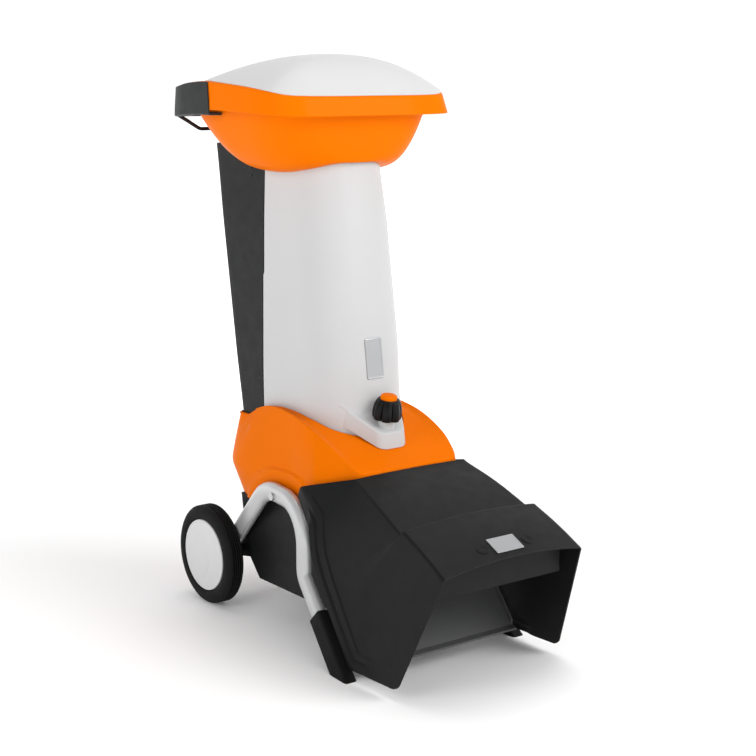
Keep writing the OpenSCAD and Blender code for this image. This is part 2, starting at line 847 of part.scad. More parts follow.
module base_cover() {
  skin = [for (j = [0 : 5]) hull_ring(j, 0, 0)];
  lining = [hull_ring(0, wall, 0), hull_ring(1, wall, 0), hull_ring(2, wall, 1), hull_ring(3, wall * 0.6, wall * 0.9),
    hull_ring(4, 0, wall), hull_ring(5, 0, wall)];
  middle = [hull_ring(0, wall / 2, 0), hull_ring(1, wall / 2, 0), hull_ring(2, wall / 2, 0.5),
    hull_ring(3, wall * 0.3, wall * 0.45), hull_ring(4, 0, wall / 2), hull_ring(5, 0, wall / 2)];
  color(orange)
    difference() {
      union() {
        shell(skin, lining, true);
        intersection() {
          for (d = [66, 312])
            both_sides()
              translate([tub_w / 2 - 13, -d, plate_z])
                cylinder(h = 200, r = 8);
          loft(concat([[for (p = middle[0]) [p[0], p[1], plate_z]]], middle));
        }
        both_sides()
          translate([44, 0, 0])
            rotate([90, 0, 90])
              linear_extrude(10) {
                polygon([[-14, 385], [-14, 422], [tilt_y - 9, tilt_z + 4], [tilt_y + 11, tilt_z]]);
                translate([tilt_y, tilt_z])
                  circle(r = 12);
              }
        at_lock()
          translate([0, 0, -72])
            cylinder(h = 27, r = lock_boss_r);
      }
      translate([0, tilt_y, tilt_z])
        rod_x(-200, 200, tilt_pin_r + run_fit);
      at_lock()
        translate([0, 0, -90])
          cylinder(h = 60, r = 12);
      translate([32, -lock_ahead + 4, 360])
        cylinder(h = 60, r = 4);
      translate([0, -leg_bolt_ahead, leg_bolt_z])
        rod_x(-200, 200, 8.6);
    }
}

module lock_insert() {
  color([0.76, 0.62, 0.30])
    at_lock()
      translate([0, 0, -72])
        difference() {
          cylinder(h = 26, r = 11.98);
          translate([0, 0, -1])
            cylinder(h = 28, r = stud_r + 1.4);
        }
}

module interlock_switch() {
  color(black)
    translate([0, -lock_ahead + 4, 0]) {
      translate([18.5, -12, 371])
        cube([28, 24, 22]);
      translate([32, 0, 392])
        cylinder(h = 11, r = 3);
    }
}

// Lock knob on the tongue

knob_z0 = 15;
knob_h = 38;

module thrust_washer() {
  color(steel)
    at_lock()
      translate([0, 0, 12.2])
        difference() {
          cylinder(h = 2.6, r = 14);
          translate([0, 0, -1])
            cylinder(h = 6, r = stud_r + run_fit);
        }
}

module lock_knob() {
  color(black)
    at_lock()
      translate([0, 0, knob_z0])
        difference() {
          union() {
            cylinder(h = 12, r1 = knob_r * 0.62, r2 = knob_r * 0.8);
            translate([0, 0, 9])
              linear_extrude(knob_h - 13) {
                circle(r = knob_r - 4);
                for (k = [0 : 6])
                  rotate(360 / 7 * k)
                    translate([knob_r - 8, 0])
                      circle(r = 8);
              }
            translate([0, 0, knob_h - 7])
              cylinder(h = 7, r1 = knob_r - 5, r2 = knob_r * 0.62);
          }
          translate([0, 0, -1])
            cylinder(h = knob_h - 6, r = stud_r + 0.05);
          translate([0, 0, knob_h - 4])
            cylinder(h = 10, r = knob_r * 0.55);
        }
}

module knob_cap() {
  color(orange)
    at_lock()
      translate([0, 0, knob_z0 + knob_h - 4])
        union() {
          cylinder(h = 5, r = knob_r * 0.55 - 0.1);
          translate([0, 0, 5])
            cylinder(h = 3, r1 = knob_r * 0.55 - 0.1, r2 = knob_r * 0.42);
        }
}

module lock_stud() {
  color(steel)
    at_lock()
      translate([0, 0, -52 - lock_travel])
        cylinder(h = 52 + lock_travel + knob_z0 + knob_h - 8, r = stud_r);
}

// Ejection chute: rows from the cover to the hood front; each runs from the wall edge over the crease

function chute_side(e, c, lift, i) = mix(e, c, i / 5) + lift * (i == 0 ? 0 : (5 - i) / 4);
function chute_row(k, o) = let(
  reach = [cover_front + 2.5, cover_front + 12, mix(cover_front, kink_reach, 0.5), kink_reach, kink_reach + 9, mix(kink_reach, hood_reach, 0.55), hood_reach],
  front_w = hood_half_w,
  step_w = corner_w + 35,
  half = [corner_w + 5, corner_w + 6.5, corner_w + 22, step_w - 4, step_w, mix(step_w, front_w, 0.55), front_w],
  high = [cover_front_z - 4, cover_front_z - 8, mix(cover_front_z, kink_z, 0.48), kink_z, kink_z + 11,
    mix(kink_z + 11, hood_front_z, 0.46), hood_front_z],
  crown = [2, 2, 4, 6, 9, 13, hood_crown],
  edge_d = [352, 405, 410, 450, 505, 563, toe_reach],
  edge_w = [leg_x(352) - 3, for (w = [60, 63, 67, 70, 71, 71]) leg_axle_x + w],
  edge_z = [318, 262, 192, 132, 79, toe_z, toe_z],
  lift = k == 0 ? [22, -4, 17] : [0, 0, 0],
  c = [half[k] - o, reach[k], high[k] - o],
  e = [edge_w[k] - o, edge_d[k], edge_z[k]])
  concat([for (i = [0 : 4]) let(p = chute_side(e, c, lift, i)) [-p[0], -p[1], p[2]]],
    [for (i = [0 : 10]) let(u = i / 5 - 1) [c[0] * u, -c[1], c[2] + crown[k] * (1 - u * u)]],
    [for (i = [4 : -1 : 0]) let(p = chute_side(e, c, lift, i)) [p[0], -p[1], p[2]]]);

module ejection_chute() {
  color(black)
    shell([for (k = [6 : -1 : 0]) chute_row(k, 0)], [for (k = [6 : -1 : 0]) chute_row(k, 3.5)]);
}

// Bare plate and two discs on the hood
hood_fit_inset = 30;
hood_fit_reach = hood_reach - hood_fit_inset;
hood_mid_reach = mix(kink_reach, hood_reach, 0.55);
hood_mid_top = mix(kink_z + 11, hood_front_z, 0.46) + 13;
hood_fall = (hood_mid_top - hood_front_z - hood_crown) / (hood_reach - hood_mid_reach);
hood_slope = atan(hood_fall);
function hood_top(d) = hood_mid_top - hood_fall * (d - hood_mid_reach);

module on_hood() {
  translate([0, -hood_fit_reach, hood_top(hood_fit_reach) + gap])
    rotate([hood_slope, 0, 0])
      children();
}

module hood_plate() {
  color(silver)
    on_hood()
      translate([0, 0, 1])
        cube([66, 40, 2], center = true);
}

module hood_discs() {
  color(black)
    on_hood()
      for (s = [-1, 1])
        translate([56 * s, 0, -1.5])
          rotate([0, 3 * s, 0])
            cylinder(h = 3, r = 12);
}

// Hanging deflector flap in the chute mouth
flap_inset = 45;
flap_reach = hood_reach - flap_inset;
flap_z = hood_front_z + 9;
flap_half_w = hood_half_w - 14;

module flap_pin() {
  color(steel)
    translate([0, -flap_reach, flap_z])
      rod_x(-(hood_half_w - 4.5), hood_half_w - 4.5, 3);
}

module deflector_flap() {
  color(dark)
    translate([-flap_half_w, -flap_reach, flap_z])
      rotate([90, 0, 90])
        linear_extrude(2 * flap_half_w)
          difference() {
            union() {
              circle(r = 6);
              translate([-2, -64])
                square([4, 62]);
            }
            circle(r = 3 + run_fit);
          }
}

// Hopper: rim wave, bowl, rear deck

// Both waves are drawn for this half depth and stretch with the rim
wave_half_d = 224;
function wave_at(y) = bowl_ahead - (y + bowl_ahead) * wave_half_d / rim_half_d;
function rim_wave(y) = lookup(wave_at(y), [[-90, 16], [-40, 19], [20, 27], [80, 30], [150, 26], [240, 19], [310, 11], [350, 3], [380, 0]]);
function low_wave(y) = lookup(wave_at(y), [[-90, 8], [-40, 10], [20, 15], [84, 17], [200, 14], [300, 9], [350, 3], [380, 0]]);
bowl_n = 56;
bowl_foot_z = 957;

// Foot of the bowl: low at the front corners, arched at the front, lifted at the rear
function foot_h(t) = let(d = -oval(t, foot_w, foot_f, foot_r, bowl_ahead, 2.6)[1])
  bowl_foot_z + 12 * ease((d - 235) / 50) + 14 * ease((d - 290) / 22) + 58 * ease((150 - d) / 160);
function bowl_ring(a, d, n, h, w, v) = [for (k = [0 : bowl_n - 1])
  let(t = -360 * k / bowl_n, p = oval(t, a, d[0], d[1], bowl_ahead, n))
  [p[0], p[1], mix(foot_h(t), h + (v == 0 ? 0 : low_wave(p[1])), w)]];

// Bowl wall between its foot and the rim: u runs 0 to 1, o sets the wall in
under_w = rim_half_w - 32;
under_d = rim_half_d - 28;
foot_w = col_a(bowl_foot_z) + 5;
foot_f = col_front(bowl_foot_z) + 5 - bowl_ahead;
foot_r = bowl_ahead + 6;
function bowl_wall(u, o) = let(h = u * u, s = pow(h, 0.44))
  bowl_ring(mix(foot_w, under_w, s) - o, [mix(foot_f, under_d, s) - o, mix(foot_r, under_d + 4, s) - o],
    mix(2.6, 4, u), rim_low_z + 2, h, 0);

rim_back = 4;
// Rim rings: the skirt leans in at the front and sides and stands upright at the rear
function rim_ring(i, o, back, n) = [for (k = [0 : bowl_n - 1])
  let(t = -360 * k / bowl_n, e = i * mix(0.12, 1, ease((sin(t) + 0.95) / 0.9)),
    p = oval(t, rim_half_w - e, rim_half_d - e, rim_half_d + rim_back - e - back, bowl_ahead, n))
  [p[0], p[1], rim_top_z + rim_wave(p[1]) - o]];
function bowl_top(i, o) = rim_ring(i, o, 0, 6);
function bowl_open(i, o) = rim_ring(i, o, 74, 5);

module hopper_bowl() {
  skirt_in = 12;
  outer = concat([for (u = [0, 0.15, 0.33, 0.55, 0.78, 1]) bowl_wall(u, 0)],
    [bowl_top(skirt_in + 10, 6), bowl_top(skirt_in + 3, 5), bowl_ring(rim_half_w - hopper_wall,
      [rim_half_d - hopper_wall, rim_half_d + rim_back - hopper_wall], 6, rim_low_z, 1, 1),
    bowl_ring(rim_half_w, [rim_half_d, rim_half_d + rim_back], 6.2, rim_low_z, 1, 1), bowl_top(skirt_in, 4), bowl_top(skirt_in + 3, 0)]);
  inner = concat([for (u = [0, 0.15, 0.33, 0.55, 0.78, 1]) bowl_wall(u, hopper_wall)],
    [bowl_open(skirt_in + 15, 10), bowl_open(skirt_in + 14, 8), bowl_open(skirt_in + 13, 6), bowl_open(skirt_in + 12, 4),
    bowl_open(skirt_in + 11, 2), bowl_open(skirt_in + 10, 0)]);
  color(orange)
    difference() {
      shell(outer, inner, true);
      loft([for (z = [940, col_z1 + 1]) concat(col_front_line(z, 0.4, seam_ahead), col_rear_half(z, 0.4, 1, 14.4),
        turned(col_rear_half(z, 0.4, -1, 14.4)))]);
    }
}

// Grip over the rear part of the rim, with a flange under its lower edge; its ends lie this share of the
// rim's rear depth behind the rim's middle
grip_start = 0.17;

module handle_grip() {
  ends = [for (k = [0 : 7]) asin(pow(mix(grip_start, 0.6, k / 8), 3.1))];
  turns = concat([for (a = ends) -180 + a], [for (k = [0 : 48]) mix(-166, -14, k / 48)], [for (k = [7 : -1 : 0]) -ends[k]]);
  proud = 3;
  function at(t, i, h) = let(e = i + 12 * max(0, h) * mix(0.12, 1, ease((sin(t) + 0.95) / 0.9)),
    p = oval(t, rim_half_w - e, rim_half_d - e, rim_half_d + rim_back - e, bowl_ahead, 6.2))
    [p[0], p[1], mix(rim_low_z + low_wave(p[1]), rim_top_z + rim_wave(p[1]), h)];
  outer = [for (t = turns) [at(t, 26, -0.2), at(t, -proud, -0.2), at(t, -proud, 0), at(t, -proud, 0.82)]];
  inner = [for (t = turns) [at(t, 26, -0.1), at(t, -0.9, -0.1), at(t, -0.9, 0), at(t, -0.9, 0.82)]];
  color(dark)
    shell(outer, inner);
}

bail_gap = 3.25;
bail_y = mix(foot_r, under_d + rim_back, 0.75) - bowl_ahead + bail_d / 2 + bail_gap;
bail_z = 1040;
bail_x = 156;
bail_top = [206, bail_y, rim_low_z];

module wire(a, b) {
  d = b - a;
  translate(a)
    rotate([0, acos(d[2] / norm(d)), atan2(d[1], d[0])])
      cylinder(h = norm(d), r = bail_d / 2, $fn = 24);
}

module pull_bail() {
  color(black)
    union() {
      wire([-bail_x, bail_y, bail_z], [bail_x, bail_y, bail_z]);
      both_sides() {
        wire([bail_x, bail_y, bail_z], bail_top);
        translate([bail_x, bail_y, bail_z])
          sphere(r = bail_d / 2, $fn = 24);
      }
    }
}

module bail_clips() {
  color(black)
    both_sides()
      difference() {
        translate([70, bail_y - 6.5, col_z1])
          cube([16, 15, bail_z + bail_d / 2 + 3 - col_z1]);
        translate([0, bail_y, bail_z])
          rod_x(0, 200, bail_d / 2 + 0.05);
      }
}

// Domed lid on a rear hinge

lid_hinge_inset = 57;
lid_hinge_y = rim_half_d - bowl_ahead - lid_hinge_inset;
lid_hinge_z = rim_top_z + 34;
lid_half_w = rim_half_w - 18;
lid_front = rim_half_d + bowl_ahead - 15;
lid_rear_inset = 87;
lid_rear = bowl_ahead - rim_half_d + lid_rear_inset;
lid_mid = 212;
lid_n = 48;
lid_pin_r = 4;

function lid_ring(s, o) = [for (k = [0 : lid_n - 1])
  let(t = -360 * k / lid_n, p = oval(t, (lid_half_w - o) * s, (lid_front - lid_mid - o) * s, (lid_mid - lid_rear - o) * s, lid_mid, mix(2.4, 5, s)),
    e = oval(t, lid_half_w, lid_front - lid_mid, lid_mid - lid_rear, lid_mid, 5), b = rim_top_z + rim_wave(e[1]) + 1)
  [p[0], p[1], mix(b, lid_top_z - o, 1 - pow(s, mix(2.1, 3, ease(1 + sin(t) * 1.4))))]];

module hopper_lid() {
  steps = [1, 0.985, 0.95, 0.88, 0.78, 0.66, 0.52, 0.36, 0.2, 0.07];
  color(pale)
    difference() {
      union() {
        shell([for (s = steps) lid_ring(s, 0)], [for (s = steps) lid_ring(s, hopper_wall * 0.75)], true);
        translate([0, -lid_mid, lid_top_z - 4.2])
          cylinder(h = 3, r = 16);
        both_sides()
          translate([60, 0, 0])
            rotate([90, 0, 90])
              linear_extrude(14) {
                polygon([[-lid_rear - 16, lid_hinge_z - 2], [-lid_rear - 16, lid_hinge_z + 6],
                  [lid_hinge_y, lid_hinge_z + 7], [lid_hinge_y, lid_hinge_z - 7]]);
                translate([lid_hinge_y, lid_hinge_z])
                  circle(r = 7.5);
              }
      }
      translate([0, lid_hinge_y, lid_hinge_z])
        rod_x(-200, 200, lid_pin_r + run_fit);
    }
}

module lid_lugs() {
  deck = rim_top_z + rim_wave(lid_hinge_y - 7.5) + gap;
  color(orange)
    both_sides()
      for (x = [49, 75])
        translate([x, 0, 0])
          rotate([90, 0, 90])
            linear_extrude(10)
              difference() {
                union() {
                  translate([lid_hinge_y - 7.5, deck])
                    square([24, lid_hinge_z - deck]);
                  translate([lid_hinge_y, lid_hinge_z])
                    circle(r = 7.5);
                }
                translate([lid_hinge_y, lid_hinge_z])
                  circle(r = lid_pin_r + run_fit);
              }
}

module lid_pin() {
  color(steel)
    translate([0, lid_hinge_y, lid_hinge_z])
      rod_x(-86, 86, lid_pin_r);
}

// Switch box with two sprung buttons and a power inlet on the rear shell

box_z = 800;
rear_lean = atan(rear_run);
box_h = 44;

module on_rear() {
  translate([0, -col_rear(box_z), box_z])
    rotate([-(90 + rear_lean), 0, 0])
      children();
}

module switch_box() {
  color(dark)
    on_rear()
      difference() {
        translate([-44, -70, gap])
          cube([88, 140, box_h - gap]);
        translate([-39, -65, -1])
          cube([78, 130, box_h - 4]);
        for (y = [-32, 8])
          translate([0, y, 0])
            cylinder(h = 80, r = button_r + 0.4);
        translate([-16, 40, -1])
          cube([32, 60, 30]);
      }
}

module button(y) {
  on_rear()
    translate([0, y, 0])
      union() {
        translate([0, 0, box_h - 5])
          cylinder(h = 9 + button_travel - 4, r = button_r);
        translate([0, 0, box_h - 5 - button_travel - 2])
          cylinder(h = 3, r = button_r + 3);
        translate([0, 0, box_h - 8 - button_travel])
          cylinder(h = 6 + button_travel, r = button_r - 4);
      }
}

module start_button() {
  color([0.10, 0.50, 0.18])
    button(-32);
}

module stop_button() {
  color([0.75, 0.08, 0.07])
    button(8);
}

module power_inlet() {
  color(black)
    on_rear()
      union() {
        difference() {
          translate([-15.7, 42, gap])
            cube([31.4, 34, 28]);
          translate([-12, 54, 4])
            cube([24, 30, 20]);
        }
        for (x = [-6, 0, 6])
          translate([x, 50, 14])
            rotate([-90, 0, 0])
              cylinder(h = 18, r = 1.6, $fn = 24);
      }
}

placed() base_tub();
placed() base_cover();
placed() ejection_chute();
placed() hood_plate();
placed() hood_discs();
placed() discharge_ramp();
placed() leg_left();
placed() leg_right();
placed() foot_left();
placed() foot_right();
placed() leg_bolts();
placed() axle();
placed() axle_brackets();
placed() axle_clips();
placed() motor_housing();
placed() motor_plate();
placed() motor_capacitor();
placed() motor_bearings();
placed() chamber_ring();
placed() counter_blade();
placed() feed_throat();
placed() tilt_pin();
placed() lock_insert();
placed() interlock_switch();
placed() flap_pin();
placed() column_front();
placed() column_rear();
placed() feed_liner();
placed() column_screws();
placed() column_plate();
placed() hopper_bowl();
placed() handle_grip();
placed() pull_bail();
placed() bail_clips();
placed() lid_lugs();
placed() lid_pin();
placed() switch_box();
placed() power_inlet();
placed() hopper_lid();
placed() lock_knob();
placed() knob_cap();
placed() lock_stud();
placed() thrust_washer();
placed() start_button();
placed() stop_button();
placed() deflector_flap();
placed() motor_shaft();
placed() rotor_core();
placed() cooling_fan();
placed() blade_disc();
placed() disc_blades();
placed() disc_nut();
placed() tyre_left();
placed() rim_left();
placed() hub_cap_left();
placed() tyre_right();
placed() rim_right();
placed() hub_cap_right();
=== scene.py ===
"""Looks of a garden shredder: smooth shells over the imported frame, their finishes, studio light and camera.

Shapes are worked out in machine sizes, in millimetres: x to the right, d ahead of the wheel axle, z above the floor.
"""

import json
import logging
import math
from dataclasses import dataclass
from enum import Enum
from functools import cache
from typing import Sequence

import bmesh
import bpy
import numpy as np
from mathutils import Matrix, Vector


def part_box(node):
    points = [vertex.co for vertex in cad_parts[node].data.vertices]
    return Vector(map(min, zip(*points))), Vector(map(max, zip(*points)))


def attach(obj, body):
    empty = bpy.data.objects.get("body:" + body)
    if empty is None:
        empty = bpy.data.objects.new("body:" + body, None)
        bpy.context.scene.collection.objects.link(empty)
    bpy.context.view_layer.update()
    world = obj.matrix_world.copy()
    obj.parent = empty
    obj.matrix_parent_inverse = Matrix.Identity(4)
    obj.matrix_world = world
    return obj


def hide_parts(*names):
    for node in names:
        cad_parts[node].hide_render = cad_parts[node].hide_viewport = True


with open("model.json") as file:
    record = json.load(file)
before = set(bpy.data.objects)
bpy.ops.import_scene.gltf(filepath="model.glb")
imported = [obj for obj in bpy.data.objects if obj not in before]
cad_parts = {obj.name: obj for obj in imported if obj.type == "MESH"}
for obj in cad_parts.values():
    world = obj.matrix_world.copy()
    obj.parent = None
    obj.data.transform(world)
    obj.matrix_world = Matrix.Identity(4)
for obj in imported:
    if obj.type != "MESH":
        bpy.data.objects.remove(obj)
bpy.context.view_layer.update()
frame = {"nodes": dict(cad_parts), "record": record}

Grid = np.ndarray
Place = tuple[float, float, float]
Colour = tuple[float, float, float]
Pairs = Sequence[tuple[float, float]]
Tree = bpy.types.NodeTree
Socket = bpy.types.NodeSocket

MM = 0.001  # metres in a millimetre
TINY = 1e-9  # stands in for nought where it would divide
WELD = 1e-6  # metres within which points become one
SIDES = {-1: "left", 1: "right"}  # sign and name of each side
ACROSS = np.array([1.0, 0.0, 0.0])  # direction to the right
AXLE_Z = 110.0  # height of the wheel axle
TILT_EYE = (-10.0, 454.0)  # place and height of the column's tilt hinge
BEVEL_STEPS, BEVEL_FROM = 2, 40.0  # rows of a rounded edge, and the turn in degrees from which edges are rounded
RELIEF_DEPTH, COAT_ROUGH = 0.0004, 0.12  # depth of surface relief in metres, roughness of clear layers
log = logging.getLogger("shredder")


def axle_place() -> float:
    """Returns the axle's place along Y in the frame, in metres."""
    low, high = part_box("axle")
    return (low.y + high.y) / 2


AXLE_Y = axle_place()


def mix(a: Grid, b: Grid, t: Grid) -> Grid:
    """Straight blend from a at t = 0 to b at t = 1."""
    return a + (b - a) * t


def ease(t: Grid) -> Grid:
    """Smooth step from 0 to 1, level at both ends."""
    u = np.clip(t, 0, 1)
    return u * u * (3 - 2 * u)


def spow(v: Grid, power: float) -> Grid:
    """Power of the size of v, with the sign of v."""
    return np.sign(v) * np.abs(v) ** power


def stack(x: Grid, d: Grid, z: Grid) -> Grid:
    """Points from three arrays of machine sizes."""
    return np.stack(np.broadcast_arrays(x, d, z), axis=-1).astype(float)


def full_turn(count: int) -> Grid:
    """Evenly spaced angles round a circle."""
    return np.linspace(0, 2 * math.pi, count, endpoint=False)


def unit(v: Grid) -> Grid:
    """Vectors of length one."""
    return v / np.maximum(np.linalg.norm(v, axis=-1, keepdims=True), TINY)


def keyed(x: Grid, keys: Pairs) -> Grid:
    """Smooth curve through keys: cubic pieces whose slopes never overshoot.

    Args:
        x: Places at which the curve is read.
        keys: Pairs of place and value, in rising order of place.

    Returns:
        The value at each place, held level past the end keys.
    """
    k = np.asarray(keys, float)
    xs, ys = k[:, 0], k[:, 1]
    run = np.diff(xs)
    rise = np.diff(ys) / run
    slope = np.zeros_like(ys)
    both = rise[:-1] * rise[1:]
    total = rise[:-1] + rise[1:]
    slope[1:-1] = np.where(both > 0, 2 * both / np.where(both > 0, total, 1), 0)
    slope[0], slope[-1] = rise[0], rise[-1]
    i = np.clip(np.searchsorted(xs, x, side="right") - 1, 0, len(xs) - 2)
    t = np.clip((x - xs[i]) / run[i], 0, 1)
    t2, t3 = t * t, t * t * t
    return ((2 * t3 - 3 * t2 + 1) * ys[i] + (t3 - 2 * t2 + t) * run[i] * slope[i]
            + (3 * t2 - 2 * t3) * ys[i + 1] + (t3 - t2) * run[i] * slope[i + 1])


def oval_radius(t: Grid, a: Grid, f: Grid, r: Grid, n: Grid) -> Grid:
    """Radius of a squared oval in direction t: half width a, reach f ahead and r behind, squareness n."""
    reach = np.where(np.sin(t) > 0, f, r)
    return ((np.abs(np.cos(t)) / a) ** n + (np.abs(np.sin(t)) / reach) ** n) ** (-1 / n)


def oval(t: Grid, a: Grid, f: Grid, r: Grid, c: float, n: Grid) -> tuple[Grid, Grid]:
    """Point (x, d) of a squared oval about (0, c): powers 2 / n of the cosine and the sine."""
    reach = np.where(np.sin(t) > 0, f, r)
    return a * spow(np.cos(t), 2 / n), c + reach * spow(np.sin(t), 2 / n)


def bent_path(points: Sequence[Sequence[float]], radii: Sequence[float], steps: int = 12) -> Grid:
    """Path through corner points with each inner corner rounded to its radius by a circular arc.

    Args:
        points: Corner points, of two or three numbers each.
        radii: Bend radius of each inner corner.
        steps: Pieces in each arc.

    Returns:
        The points along the path.
    """
    p = np.asarray(points, float)
    rows = [p[:1]]
    for a, b, c, r in zip(p[:-2], p[1:-1], p[2:], radii):
        u, v = unit(b - a), unit(c - b)
        angle = math.acos(float(np.clip(u @ v, -1, 1)))
        side = unit(v - u * (u @ v))
        k = np.linspace(0, angle, steps + 1)[:, None]
        rows.append(b - u * r * math.tan(angle / 2) + r * (np.sin(k) * u + (1 - np.cos(k)) * side))
    rows.append(p[-1:])
    return np.concatenate(rows)


def softened(rings: Sequence[Grid], reach: Sequence[float | Grid | None], steps: int = 6) -> Grid:
    """Rows through control rings, each inner ring turned into a parabolic bend.

    Args:
        rings: Control rings of equal length, one after the other.
        reach: For each inner ring, how far from it the bend starts, or None for no bend.
        steps: Rows in each bend.

    Returns:
        A grid with the first ring, the rows of each bend and the last ring.
    """
    rows = [rings[0]]
    for before, here, after, r in zip(rings[:-2], rings[1:-1], rings[2:], reach):
        if r is None:
            rows.append(here)
            continue
        p, q = (here + run * np.minimum(r / np.maximum(np.linalg.norm(run, axis=-1, keepdims=True), TINY), 0.5)
                for run in (before - here, after - here))
        rows.extend((1 - s) ** 2 * p + 2 * s * (1 - s) * here + s * s * q for s in np.linspace(0, 1, steps))
    rows.append(rings[-1])
    return np.stack(rows)


def refined(grid: Grid, most: float | Grid) -> Grid:
    """Adds straight rows until no step is longer than most millimetres: one limit, or one for each gap."""
    gaps = np.linalg.norm(np.diff(grid, axis=0), axis=-1).max(axis=1)
    counts = np.maximum(1, np.ceil(gaps / most).astype(int))
    rows = [mix(a, b, np.arange(n)[:, None, None] / n) for a, b, n in zip(grid[:-1], grid[1:], counts)]
    return np.concatenate([*rows, grid[-1:]])


def sweep(path: Grid, width: float, depth: float, power: float = 1.0, sides: int = 32) -> Grid:
    """Oval section carried along a path, its width kept as near to X as the path allows.

    Args:
        path: Points of the path.
        width: Section size across, near X.
        depth: Section size square to it.
        power: Power of cosine and sine; under one squares the oval.
        sides: Points round the section.

    Returns:
        A grid with a ring for each point of the path.
    """
    along = unit(np.gradient(path, axis=0))
    across = unit(ACROSS - along * along[:, :1])
    square = np.cross(along, across)
    a = full_turn(sides)
    u, v = width / 2 * spow(np.cos(a), power), depth / 2 * spow(np.sin(a), power)
    return path[:, None] + across[:, None] * u[:, None] + square[:, None] * v[:, None]


def revolved(profile: Grid | Pairs, centre: Sequence[float], axis: Sequence[float], turns: int = 96) -> Grid:
    """Profile of (radius, height) pairs turned about an axis through a centre."""
    p = np.asarray(profile, float)
    up = unit(np.asarray(axis, float))
    side = unit(np.cross(up, [0.0, 1.0, 0.2]))
    other = np.cross(up, side)
    a = full_turn(turns)[:, None]
    ring = np.cos(a) * side + np.sin(a) * other
    return np.asarray(centre, float) + p[:, :1, None] * ring + p[:, 1:2, None] * up


@dataclass
class Patch:
    """Grid of machine points that becomes one skin of a piece."""

    points: Grid
    around: bool = False
    along: bool = False
    lids: bool = False
    inside: Place | None = None

    def faces(self, first: int, frame_points: Grid) -> list[list[int]]:
        """Lists the faces, turned to point away from the inside.

        Args:
            first: Index of the patch's first point in the mesh.
            frame_points: The patch's points in the frame, as a flat list.

        Returns:
            Lists of point indices.
        """
        rows, cols = self.points.shape[:2]
        index = np.arange(rows * cols).reshape(rows, cols)
        grid = np.concatenate([index, index[:, :1]], axis=1) if self.around else index
        grid = np.concatenate([grid, grid[:1]], axis=0) if self.along else grid
        quads = np.stack([grid[:-1, :-1], grid[:-1, 1:], grid[1:, 1:], grid[1:, :-1]], axis=-1).reshape(-1, 4)
        c = frame_points[quads]
        normal = np.cross(c[:, 2] - c[:, 0], c[:, 3] - c[:, 1])
        middle = to_frame(np.array(self.inside, float)) if self.inside else frame_points.mean(axis=0)
        outward = float(((c.mean(axis=1) - middle) * normal).sum())
        found = quads.tolist()
        if self.lids:
            found += [index[0][::-1].tolist(), index[-1].tolist()]
        if outward < 0:
            found = [f[::-1] for f in found]
        return [[i + first for i in f] for f in found]


def to_frame(points: Grid) -> Grid:
    """Machine points (x, d, z) in millimetres as frame points in metres."""
    return np.stack([points[..., 0] * MM, AXLE_Y - points[..., 1] * MM, points[..., 2] * MM], axis=-1)


def prism(outline: Grid, low: float, high: float) -> Patch:
    """Flat outline of (d, z) points carried straight across from x = low to x = high."""
    rows = [stack(np.full(len(outline), x), outline[:, 0], outline[:, 1]) for x in (low, high)]
    return Patch(np.stack(rows), around=True, lids=True)


def twins(outline: Sequence[Grid | Pairs], mid: float, half: float) -> list[Patch]:
    """Prisms of one outline, given in parts, on both sides: half to either side of mid off the middle plane."""
    return [prism(np.concatenate(outline), s * mid - half, s * mid + half) for s in SIDES]


def arc(d: float, z: float, r: float, first: float, last: float, count: int) -> Grid:
    """Points (d, z) of an arc of radius r about a centre, from one angle in degrees to another."""
    t = np.radians(np.linspace(first, last, count))
    return np.stack([d + r * np.cos(t), z + r * np.sin(t)], axis=1)


def plate_rings(w: float, h: float, r: float, bend: int, steps: Pairs) -> Grid:
    """Border lines of a thin plate with round corners, from its edge inwards.

    Args:
        w: Half width.
        h: Half length.
        r: Corner radius.
        bend: Pieces in each corner.
        steps: Inset and lift of each line.

    Returns:
        A row of points (across, along, lift) for each step.
    """
    edge = bent_path([(0, -h), (w, -h), (w, h), (-w, h), (-w, -h), (0, -h)], [r] * 4, bend)[:-1]
    return np.stack([stack(edge[:, 0] * (1 - i / w), edge[:, 1] * (1 - i / h), lift) for i, lift in steps])


def placed(name: str, data: bpy.types.ID) -> bpy.types.Object:
    """New object of the scene that shows some data."""
    obj = bpy.data.objects.new(name, data)
    bpy.context.scene.collection.objects.link(obj)
    return obj


def aim(obj: bpy.types.Object, place: Place, along: Vector) -> None:
    """Sets a camera or light at a place and points it along a direction."""
    obj.location = place
    obj.rotation_mode = "QUATERNION"
    obj.rotation_quaternion = along.to_track_quat("-Z", "Y")


def make(name: str, patches: Sequence[Patch], sharp: float) -> bpy.types.Object:
    """Builds one mesh object from patches.

    Args:
        name: Name of the piece.
        patches: The piece's skins.
        sharp: Angle in degrees past which an edge is shaded sharp.

    Returns:
        The new object, at the origin.
    """
    points, faces, first = [], [], 0
    for patch in patches:
        flat = to_frame(patch.points).reshape(-1, 3)
        points.append(flat)
        faces += patch.faces(first, flat)
        first += len(flat)
    mesh = bpy.data.meshes.new(name)
    mesh.from_pydata(np.concatenate(points).tolist(), [], faces)
    work = bmesh.new()
    work.from_mesh(mesh)
    bmesh.ops.remove_doubles(work, verts=work.verts, dist=WELD)
    work.to_mesh(mesh)
    work.free()
    mesh.polygons.foreach_set("use_smooth", np.ones(len(mesh.polygons), dtype=bool))
    mesh.set_sharp_from_angle(angle=math.radians(sharp))
    mesh.update()
    return placed(name, mesh)


class Skin(Enum):
    """How a finish breaks up light over its surface."""

    MOULDED = "moulded_skin"
    BRUSHED = "brushed_skin"


